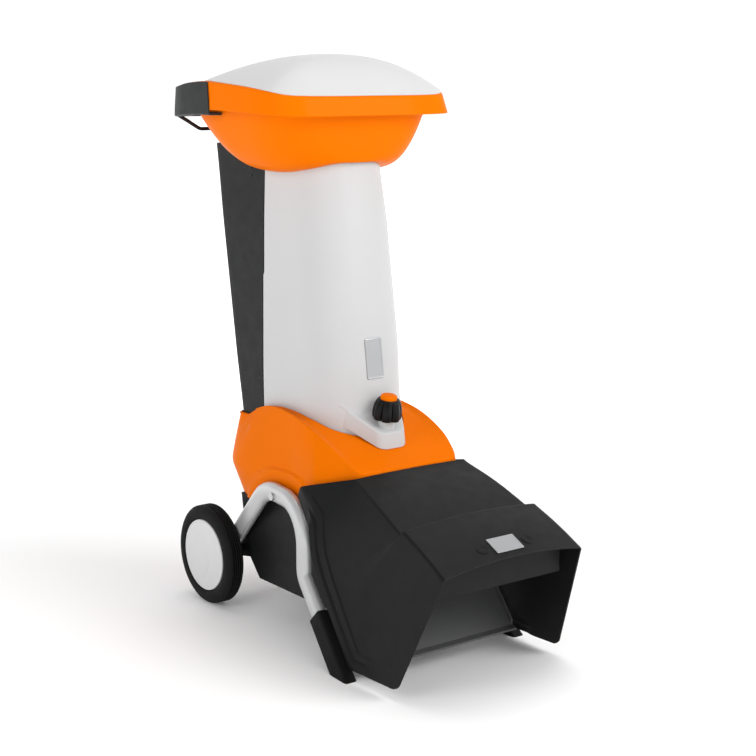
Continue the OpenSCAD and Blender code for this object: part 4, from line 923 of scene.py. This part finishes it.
@dataclass
class BaseCover:
    """Orange cover round the foot of the column, with its crease, arch band and tongue recess."""

    column: Column
    centre: float = 230.0
    front: float = 488.0
    front_z: float = 379.0
    crease_z: float = 470.0
    wall: float = 4.0
    gap: float = 0.9
    flank: float = 372.0
    corner: float = 134.0
    band: float = 48.0
    band_lift: float = 5.0
    band_x: float = 120.0
    band_top: float = 400.0
    cut_z: float = 404.0
    lip: float = 9.0

    def crease(self, d: Grid) -> Grid:
        """Height of the crease: highest beside the column, falling to the front edge and to the rear."""
        peak, level, power = 200, 65, 2.2
        ahead = (self.crease_z - self.front_z) * (np.maximum(d - peak, 0) / (self.front - peak)) ** power
        behind = 0.00215 * np.maximum(peak - np.maximum(d, level), 0) ** 2
        return self.crease_z - ahead - behind

    def opening(self) -> Grid:
        """Line of the opening: the column's outline, with a lobe that stays inside the plan of the tongue."""
        hole = self.outline(self.gap)
        x, d = hole[:, 0], hole[:, 1] - self.centre
        t = np.arctan2(d, x)
        half, tip, run = self.column.tongue_half - 8, self.column.tongue_front - 9 - self.centre, 72.0 / 43.0
        across, along = np.abs(np.cos(t)), np.maximum(np.sin(t), 1e-3)
        lobe = np.minimum(tip / along, (tip + run * half) / (along + run * across))
        grown = np.sin(t) > 0.5
        reach = np.where(grown, np.maximum(np.hypot(x, d), lobe), 0)
        return stack(np.where(grown, reach * np.cos(t), x),
                     np.where(grown, reach * np.sin(t), d) + self.centre, hole[:, 2])

    def outline(self, grow: float) -> Grid:
        """Column outline grown by some millimetres, closed, from the left seam round the front and back."""
        ahead = self.column.front_rows(np.array([self.cut_z]), grow)[0]
        behind = self.column.rear_rows(np.array([440.0]), grow, 0.0)[0]
        return np.concatenate([ahead, behind[1:-1]])

    def oval_ring(self, t: Grid, w: Grid, f: float, r: float, n: float) -> tuple[Grid, Grid]:
        """Point (x, d) in direction t of an oval about the cover's centre."""
        q = oval_radius(t, w, f, r, np.where(np.sin(t) > 0, 14.0, n))
        return q * np.cos(t), self.centre + q * np.sin(t)

    def rings(self) -> list[Grid]:
        """Control rings from the lower edge over the bulge and the crease to the opening round the column."""
        hole = self.opening()
        ahead = np.arange(len(hole)) < len(self.column.front_rows(np.array([self.cut_z]))[0])
        t = np.arctan2(hole[:, 1] - self.centre, hole[:, 0])
        f, r = self.front - self.centre, self.centre
        d = self.oval_ring(t, 150.0, f, r, 5)[1]
        leg = Leg(1)
        low_h = keyed(d, [(0, 262), (60, 256), (110, 252), (160, 262), (200, 278), (240, 291), (300, 300), (345, 308),
                          (373, 324), (430, 351), (self.front, self.front_z - 9)])
        mid_h = keyed(d, [(0, 326), (100, 326), (240, 334), (373, 350), (430, 362), (self.front, self.front_z - 5)])
        beside = leg.across(np.minimum(d, self.flank)) - leg.width / 2
        run_in = np.maximum(0, (d - self.flank) / (self.front - self.flank))
        low_w = mix(np.maximum(139, beside - 9), self.corner, run_in)
        mid_w = mix(np.maximum(157, beside - 7), self.corner, run_in)
        rim_w = keyed(d, [(60, 122), (120, 124), (210, 131), (350, 144), (430, 141), (484, self.corner - 1)])
        slope_w, deck_w = mix(mid_w, rim_w, 0.45), mix(rim_w, self.column.half(440) + self.gap, 0.5)
        ovals = [(low_w, f, r - 20, 5), (mid_w, f - 0.5, r + 5, 5), (slope_w, f - 1, r + 2, 5.5),
                 (rim_w, f - 2.5, r - 6, 7), (deck_w, 436 - r, r - 10, 10)]
        rings = []
        for j, shape in enumerate(ovals):
            x, e = self.oval_ring(t, *shape)
            if j > 2:
                near = self.outline(4.0 if j == 3 else 2.4)
                x, e = np.where(ahead, x, near[:, 0]), np.where(ahead, e, near[:, 1])
            crease = self.crease(e)
            rings.append(stack(x, e, (low_h, mid_h, mix(mid_h, crease, 0.55), crease, crease - 7)[j]))
        inner = hole.copy()
        inner[:, 2] = self.crease(hole[:, 1]) - 3 - 4 * ease((hole[:, 1] - 300) / 50)
        return [*rings, inner, inner - (0, 0, self.lip)]

    def arch_band(self, grid: Grid) -> Grid:
        """Lifts a band of the side walls that runs along the leg's arch by a small step."""
        line = Leg(1).path()[:, 1:]
        near = np.full(grid.shape[:2], np.inf)
        for a, b in zip(line[:-1], line[1:]):
            run = b - a
            s = np.clip(((grid[..., 1:] - a) @ run) / (run @ run), 0, 1)
            near = np.minimum(near, np.linalg.norm(grid[..., 1:] - (a + s[..., None] * run), axis=-1))
        side = ease((np.abs(grid[..., 0]) - self.band_x) / 14) * (grid[..., 2] < self.band_top)
        out = grid.copy()
        out[..., 0] += np.sign(grid[..., 0]) * self.band_lift * ease((self.band - near) / 2.6) * side
        return out

    def build(self) -> None:
        """Makes the cover and its hinge lugs."""
        grid = softened(self.rings(), [12.0, 60.0, 4.0, 14.0, 2.0], 9)
        cover = Patch(self.arch_band(refined(grid, 5.0)), around=True, inside=(0, 230, 330))
        piece("base_cover_shell", [cover], "base", ORANGE, "orange_plastic", "base_cover", sharp=60, wall=self.wall,
              edge=0.8)
        lug = [arc(*TILT_EYE, 12.0, 280, 60, 24), [(14.0, 422.0), (14.0, 385.0)]]
        piece("tilt_hinge_lugs", twins(lug, 49, 5), "base", ORANGE, "orange_plastic", edge=0.8)


@dataclass
class Chute:
    """Dark ejection chute with its hood, and the bare plate and discs on the hood."""

    front: float = 808.0
    kink: float = 671.0
    kink_z: float = 307.0
    front_z: float = 257.0
    toe: float = 713.0
    toe_z: float = 23.0
    half_front: float = 172.0
    root_z: float = 379.0
    wall: float = 3.5
    fit_reach: float = 778.0
    ridge: float = 3.4
    ridge_rear: float = 396.0
    ridge_front: float = 640.0
    ridge_top: float = 340.0
    toe_r: float = 14.0
    hood_mid: float = 0.55
    hood_fall: float = 0.46
    hood_step: float = 11.0
    hood_crown: float = 13.0

    def hood_line(self) -> tuple[float, float]:
        """Place and height of the hood's middle row, without its crown."""
        return (mix(self.kink, self.front, self.hood_mid),
                mix(self.kink_z + self.hood_step, self.front_z, self.hood_fall))

    def control(self) -> tuple[Grid, Grid, Grid]:
        """Corner points, edge points and crown heights of each cross row, from the cover to the hood front."""
        mid_d, mid_z = self.hood_line()
        step_z = self.kink_z + self.hood_step
        corner = np.array([
            (139, 490.5, self.root_z - 4), (140.5, 500, self.root_z - 8),
            (154, 580, mix(self.root_z, self.kink_z, 0.48)), (162, self.kink - 2, self.kink_z),
            (166, self.kink + 7, step_z), (mix(166, self.half_front, self.hood_mid), mid_d, mid_z),
            (self.half_front, self.front, self.front_z)])
        edge = np.array([(Leg(1).across(352) - 3, 352, 318), (198, 413, 268), (201, 424, 206), (203, 458, 155),
                         (205, 503, 98), (207, 562, self.toe_z - 4), (207, self.toe, self.toe_z)])
        return corner, edge, np.array([2, 2, 4, 6, 9, self.hood_crown, 16])

    def rows(self) -> Grid:
        """Skin of the chute: cross rows from edge to edge, with soft corners and a crown on top."""
        corner, edge, crown = self.control()
        u = np.linspace(-1, 1, 33)[1:-1]
        flip = np.array([-1.0, 1, 1])
        tops = [stack(corner[:, 0] * k, corner[:, 1], corner[:, 2] + crown * (1 - k * k)) for k in u]
        reach = np.array([4.5, 4.5, 5.0, 5.0, 7.5, 7.5, 7.0])[:, None]
        bulge = np.zeros_like(edge)
        bulge[0] = (18, -4, 15)
        waist = mix(edge, corner, 0.2) + bulge
        columns = softened([edge * flip, waist * flip, corner * flip, *tops, corner, waist, edge],
                           [8.0, reach, *[None] * len(tops), reach, 8.0], 7)
        fine = np.full(len(columns) - 1, 9.0)
        fine[:8] = fine[-8:] = 2.4
        columns = refined(columns, fine)
        high = ease((columns[:, :, 2] - 60) / 140)[..., None]
        bends = [mix(4.0, big, high[:, k + 1]) for k, big in enumerate([6.0, 60.0, 2.0, 3.0, 40.0])]
        bends[1] = mix(24.0, 60.0, high[:, 2])
        rows = softened(list(np.swapaxes(columns, 0, 1)), bends, 9)
        return refined(rows, 5.0)

    def shaped(self, grid: Grid) -> Grid:
        """Raises a double ridge along the rear edge of each side wall and rounds the toe corners.

        Args:
            grid: Skin of the chute.

        Returns:
            The skin with the ridges, and with its front lower corners drawn in from a square to a quarter circle.
        """
        for _ in range(2):
            wide = np.linalg.norm(np.diff(grid, axis=1), axis=-1)
            long = np.linalg.norm(np.diff(grid, axis=0), axis=-1)
            s = np.concatenate([np.zeros((len(grid), 1)), np.cumsum(wide, axis=1)], axis=1)
            d, z = grid[..., 1], grid[..., 2]
            near = ease((d - self.ridge_rear) / 24) * ease((self.ridge_front - d) / 30) * (z < self.ridge_top)
            roll = ease(s / 4) * ease((23 - s) / 5) + 0.7 * ease((s - 25) / 4) * ease((47 - s) / 3)
            out = grid.copy()
            out[..., 0] += np.sign(grid[..., 0]) * self.ridge * roll * near
            q = np.concatenate([np.cumsum(long[::-1], axis=0)[::-1], np.zeros((1, grid.shape[1]))])
            u, v = np.maximum(self.toe_r - s, 0), np.maximum(self.toe_r - q, 0)
            keep = np.where((u > 0) & (v > 0), np.maximum(u, v) / np.maximum(np.hypot(u, v), TINY), 1)
            up, back = unit(np.gradient(grid, axis=1)), -unit(np.gradient(grid, axis=0))
            out += up * (u * (1 - keep))[..., None] + back * (v * (1 - keep))[..., None]
            grid = out[:, ::-1]
        return grid

    def build(self) -> None:
        """Makes the chute, the plate and the discs."""
        skin = Patch(self.shaped(self.rows()), inside=(0, 560, 150))
        piece("ejection_chute_shell", [skin], "base", CHUTE, "black_plastic", "ejection_chute", sharp=60,
              wall=self.wall, edge=1.0)
        mid_d, mid_z = self.hood_line()
        high = mid_z + self.hood_crown
        fall = (high - self.front_z - 16) / (self.front - mid_d)
        along, up = unit(np.array([0.0, 1.0, -fall])), unit(np.array([0.0, fall, 1.0]))
        seat = np.array([0.0, self.fit_reach, high - fall * (self.fit_reach - mid_d)])
        rings = plate_rings(33.0, 20.0, 2.0, 5, [(0, 0.3), (0, 1.5), (0.4, 1.9), (1.6, 1.9), (1.9, 1.6), (6.0, 1.6),
                                                 (12.0, 1.6), (19.5, 1.6)])
        plate = Patch(seat + rings @ np.stack([ACROSS, along, up]), around=True, lids=True)
        piece("hood_plate_sheet", [plate], "base", LABEL, "plate_metal", "hood_plate")
        profile = [(12.0, 0.2), (12.0, 1.0), (11.4, 1.6), (10.4, 1.6), (9.8, 1.0), (7.6, 1.0), (7.2, 1.4), (5.6, 1.4),
                   (5.2, 0.9), (0.0, 0.9)]
        discs = []
        for side in SIDES:
            spot = seat + ACROSS * 56 * side - up * 1.75
            disc = revolved(profile, spot, up + ACROSS * 0.05 * side, 64)
            discs.append(Patch(disc, around=True, inside=tuple(spot - up * 4)))
        piece("hood_disc_pair", discs, "base", BLACK, "black_plastic", "hood_discs", sharp=45)


@dataclass
class Hopper:
    """Hopper bowl with its wavy rim, rear grip, wire bail and domed lid."""

    column: Column
    half_w: float = 230.0
    half_d: float = 224.0
    back: float = 4.0
    ahead: float = 145.0
    low: float = 1068.0
    top: float = 1112.0
    wall: float = 4.0
    skirt: float = 8.0
    foot: float = 957.0
    lid_top: float = 1195.9
    lid_mid: float = 212.0
    turns: int = 192

    def angles(self) -> Grid:
        """Directions round the hopper."""
        return -full_turn(self.turns)

    def rim_wave(self, d: Grid) -> Grid:
        """Lift of the rim's upper edge along the machine."""
        return keyed(d, [(-90, 16), (-40, 19), (20, 27), (80, 30), (150, 26), (240, 19), (310, 11), (350, 3), (380, 0)])

    def low_wave(self, d: Grid) -> Grid:
        """Lift of the rim's lower edge along the machine."""
        return keyed(d, [(-90, 8), (-40, 10), (20, 15), (84, 17), (200, 14), (300, 11), (350, 8), (380, 6)])

    def lean(self, t: Grid) -> Grid:
        """Share of the skirt's lean: full at the front and sides, almost upright at the rear."""
        return mix(0.12, 1.0, ease((np.sin(t) + 0.95) / 0.9))

    def rim_ring(self, inset: float, drop: float, deck: float = 0.0, n: float = 6.0) -> Grid:
        """Ring near the rim's upper edge."""
        t = self.angles()
        e = inset * self.lean(t)
        x, d = oval(t, self.half_w - e, self.half_d - e, self.half_d + self.back - e - deck, self.ahead, n)
        return stack(x, d, self.top + self.rim_wave(d) - drop)

    def skirt_ring(self, inset: float, n: float) -> Grid:
        """Ring at the lower edge of the rim."""
        x, d = oval(self.angles(), self.half_w - inset, self.half_d - inset, self.half_d + self.back - inset,
                    self.ahead, n)
        return stack(x, d, self.low + self.low_wave(d))

    def wall_ring(self, u: float, inset: float) -> Grid:
        """Ring of the bowl between its foot (u = 0) and the rim (u = 1), set in by some millimetres."""
        t, n = self.angles(), mix(2.6, 4.0, u)
        foot_w = float(self.column.half(self.foot)) + 5
        foot_f = float(self.column.front(self.foot)) + 5 - self.ahead
        foot_r = self.ahead + 6
        under_w, under_d = self.half_w - 32, self.half_d - 28
        rise = u * u
        out = rise ** 0.40
        x, d = oval(t, mix(foot_w, under_w, out) - inset, mix(foot_f, under_d, out) - inset,
                    mix(foot_r, under_d + 4, out) - inset, self.ahead, n)
        foot_d = oval(t, foot_w, foot_f, foot_r, self.ahead, 2.6)[1]
        foot_z = keyed(foot_d, [(-8, 1016), (40, 999), (90, 973), (121, 963), (150, 959.5), (186, 958), (220, 959.5),
                                (246, 963), (267, 967), (283, 971), (296, 975), (305, 978), (311, 979.5)])
        return stack(x, d, mix(foot_z, self.low + 2, rise))

    def build_bowl(self) -> None:
        """Makes the bowl as one closed skin: up the outside, over the rim and down the inside."""
        climb, deck, s = np.linspace(0, 1, 22), 74, self.skirt
        outer = [self.wall_ring(u, 0) for u in climb]
        rim = [self.rim_ring(s + 10, 6), self.rim_ring(s + 3, 5), self.skirt_ring(self.wall, 6),
               self.skirt_ring(0, 6.2), self.rim_ring(s, 4), self.rim_ring(s + 3, 0),
               self.rim_ring(s + 9, 0, deck, 5), self.rim_ring(s + 12, 4, deck, 5),
               self.rim_ring(s + 15, 10, deck, 5)]
        inner = [self.wall_ring(u, self.wall) for u in climb[::-1]]
        level = [None] * (len(climb) - 2)
        bends = [*level, 3.0, 3.0, 3.0, 1.4, 1.4, 3.0, 3.0, 3.0, 2.0, 3.0, 6.0, *level]
        grid = softened([*outer, *rim, *inner], bends, 5)
        piece("hopper_bowl_shell", [Patch(grid, around=True, along=True)], "column", ORANGE, "orange_plastic",
              "hopper_bowl", sharp=70)

    def build_grip(self) -> None:
        """Makes the grip: a closed section carried round the rear of the rim, with slanted ends."""
        rear = self.half_d + self.back
        swing = np.sin(np.linspace(0, math.pi / 2, 40))
        reach = np.concatenate([np.linspace(0, 0.6, 24)[:-1], 0.6 + 0.4 * swing])

        def line(inset: float, h: float) -> Grid:
            """Row at one inset and one share of the rim's height, its ends further back near the top."""
            first = (self.ahead - mix(117, 96, np.clip(h, 0, 1))) / rear
            turn = np.arcsin(np.clip(mix(first, 1.0, reach), 0, 1) ** 3.1)
            t = np.concatenate([-math.pi + turn, -turn[-2::-1]])
            e = inset + self.skirt * max(0.0, h) * self.lean(t)
            x, d = oval(t, self.half_w - e, self.half_d - e, rear - e, self.ahead, 6.2)
            return stack(x, d, mix(self.low + self.low_wave(d), self.top + self.rim_wave(d), h))

        section = [(26, -0.2), (0, -0.2), (-3, -0.16), (-3, 0.3), (-3, 0.97), (-0.3, 0.99), (-0.3, 0.3), (-0.3, -0.09),
                   (26, -0.1)]
        rows = np.swapaxes(np.stack([line(i, h) for i, h in section]), 0, 1)
        piece("rim_grip", [Patch(rows, around=True, lids=True)], "column", GRIP, "black_plastic", "handle_grip",
              edge=1.0)

    def build_bail(self) -> None:
        """Makes the wire bail under the grip and the clips that hold it."""
        d, z, half, radius = -50.0, 1040.0, 156.0, 4.0
        wide, high = 206.0, self.low + 1
        path = bent_path([(-wide, d, high), (-half, d, z), (half, d, z), (wide, d, high)], [22, 22], 12)
        path = refined(path[:, None], 12)
        side = np.array([0.0, 1.0, 0.0])
        other = np.cross(unit(np.gradient(path, axis=0)), side)
        a = full_turn(20)[:, None]
        wire = path + radius * (side * np.cos(a) + other * np.sin(a))
        piece("pull_bail_wire", [Patch(wire, around=True, lids=True)], "column", WIRE, "black_paint", "pull_bail",
              sharp=60)
        foot = self.column.top + 0.2
        clip = [arc(d, z, 7.4, 0, 180, 15), [(d - 8.0, foot), (d + 6.4, foot)]]
        piece("bail_clip_pair", twins(clip, 78, 8), "column", BLACK, "black_plastic", "bail_clips", edge=1.0)

    def lid_grid(self) -> Grid:
        """Lid skin: rings from the edge to the crown, squarer at the edge, lifted by a dome profile."""
        s = np.concatenate([[1.0, 0.995, 0.985], np.linspace(0.97, 0.02, 44)])[:, None]
        t = self.angles()
        half_w, front, rear = self.half_w - 13, self.half_d + self.ahead - 9 - self.lid_mid, self.lid_mid - 8
        edge = oval(t, half_w, front, rear, self.lid_mid, 5.0)[1]
        x, d = oval(t, half_w * s, front * s, rear * s, self.lid_mid, mix(2.4, 5.0, s))
        rise = 1 - s ** mix(2.0, 2.5, ease(1 + np.sin(t) * 1.4))
        grid = stack(x, d, mix(self.top + self.rim_wave(edge) + 1, self.lid_top, rise))
        pole = np.broadcast_to(grid[-1].mean(axis=0), grid[-1].shape)
        return np.concatenate([grid, pole[None]])

    def build_lid(self) -> None:
        """Makes the lid with its hinge ears, and the lugs they turn between."""
        dome = Patch(self.lid_grid(), around=True, inside=(0, 212, 1100))
        piece("hopper_lid_dome", [dome], "lid", LID, "pale_plastic", "hopper_lid", sharp=60, wall=3.0, edge=1.0)
        d, z, r = -22.0, self.top + 34, 7.5
        ear = [arc(d, z, r, 270, 90, 17), [(24.0, z + 6), (24.0, z - 2)]]
        piece("lid_hinge_ears", twins(ear, 67, 7), "lid", LID, "pale_plastic", edge=0.8)
        deck = self.top + float(self.rim_wave(np.array([-14.5]))[0]) + 0.3
        lug = [arc(d, z, r, 0, 180, 17), [(d - 16.5, deck), (d + r, deck)]]
        piece("lid_lug_row", twins(lug, 54, 5) + twins(lug, 80, 5), "column", ORANGE, "orange_plastic", "lid_lugs",
              edge=0.8)

    def build(self) -> None:
        """Makes every piece of the hopper."""
        self.build_bowl()
        self.build_grip()
        self.build_bail()
        self.build_lid()


@dataclass
class Studio:
    """White floor, soft lights and the camera at the photograph's viewing angle."""

    eye_x: float = -1.9285
    eye_ahead: float = 2.95684
    eye_z: float = 1.16523
    azimuth: float = -36.8
    elevation: float = 10.92
    focal_px: float = 1600.0
    image_px: float = 756.0
    sensor: float = 36.0
    floor_half: float = 30.0
    aim_z: float = 0.55
    bright: float = 1.05
    dim: float = 0.42

    def build_camera(self) -> None:
        """Places the camera."""
        data = bpy.data.cameras.new("camera")
        data.sensor_width = self.sensor
        data.lens = self.focal_px / self.image_px * self.sensor
        data.clip_end = 200
        cam = placed("camera", data)
        a, e = math.radians(self.azimuth), math.radians(self.elevation)
        back = Vector((math.sin(a) * math.cos(e), -math.cos(a) * math.cos(e), math.sin(e)))
        aim(cam, (self.eye_x, AXLE_Y - self.eye_ahead, self.eye_z), -back)
        bpy.context.scene.camera = cam

    def build_floor(self) -> None:
        """Lays a plain white floor that glows further out, so that no edge shows against the surround."""
        h = self.floor_half
        mesh = bpy.data.meshes.new("floor")
        mesh.from_pydata([(-h, -h, 0), (h, -h, 0), (h, h, 0), (-h, h, 0)], [], [(0, 1, 2, 3)])
        mat = bpy.data.materials.new("floor_white")
        mat.use_nodes = True
        tree = mat.node_tree
        place = add(tree, "TexCoord").outputs["Object"]
        far = add(tree, "VectorMath", {0: place}, operation="LENGTH").outputs["Value"]
        glow = ramp(tree, far, 0.7, 3.2, 0.06, 0.9, interpolation_type="SMOOTHSTEP")
        feed(tree, tree.nodes["Principled BSDF"], {
            "Base Color": (0.93, 0.93, 0.93, 1), "Roughness": 0.9, "Specular IOR Level": 0.1,
            "Emission Color": glow, "Emission Strength": 1.0})
        mesh.materials.append(mat)
        floor = placed("floor", mesh)

    def softbox(self, name: str, place: Place, size: float, power: float, mirrored: bool) -> None:
        """Adds one square soft light aimed at the machine, which shows in mirror reflections or not."""
        data = bpy.data.lights.new(name, "AREA")
        data.size = size
        data.energy = power
        lamp = placed(name, data)
        lamp.visible_glossy = mirrored
        aim(lamp, place, Vector((0, 0, self.aim_z)) - Vector(place))

    def build_light(self) -> None:
        """Adds the soft lights and the white surround: dimmer towards the viewer's side, bright along the horizon."""
        world = bpy.data.worlds.new("surround")
        world.use_nodes = True
        tree = world.node_tree
        place = add(tree, "TexCoord").outputs["Generated"]
        a = math.radians(self.azimuth)
        facing = add(tree, "VectorMath", {0: place, 1: (-math.sin(a), math.cos(a), 0)}, operation="DOT_PRODUCT")
        ahead = ramp(tree, facing.outputs["Value"], 0.1, 0.85, self.dim, self.bright)
        height = add(tree, "SeparateXYZ", {"Vector": place}).outputs["Z"]
        horizon = ramp(tree, height, 0.11, 0.17, self.bright, 0.0)
        most = add(tree, "Math", {0: ahead, 1: horizon}, operation="MAXIMUM").outputs["Value"]
        feed(tree, tree.nodes["Background"], {"Color": (1, 1, 1, 1), "Strength": most})
        bpy.context.scene.world = world
        self.softbox("key", (1.6, -3.0, 2.6), 2.0, 88, True)
        self.softbox("top", (0.5, 0.2, 4.2), 3.0, 50, True)
        self.softbox("side", (-3.4, -0.6, 1.9), 2.2, 48, False)
        bpy.context.scene.view_settings.view_transform = "Standard"

    def build(self) -> None:
        """Makes floor and lights."""
        self.build_floor()
        self.build_light()


def dress_frame() -> None:
    """Gives every CAD node the finish of its slot, or its own."""
    slots = {s["node"]: s["material_slot"] for s in frame["record"]["subparts"]}
    for name, obj in frame["nodes"].items():
        obj.data.materials.clear()
        obj.data.materials.append(NODE_FINISH.get(name, SLOT_FINISH[slots[name]]).material())
        log.info("%s: CAD node in %s", name, slots[name])


def main() -> None:
    """Builds the camera, the finishes, every piece in order and the studio."""
    logging.basicConfig(level=logging.INFO, format="%(name)s %(message)s")
    studio = Studio()
    studio.build_camera()
    dress_frame()
    column = Column()
    column.build()
    LockKnob().build()
    for side in SIDES:
        Leg(side).build()
        Wheel(side).build()
    BaseCover(column).build()
    Chute().build()
    Hopper(column).build()
    studio.build()


if __name__ == "__main__":
    main()
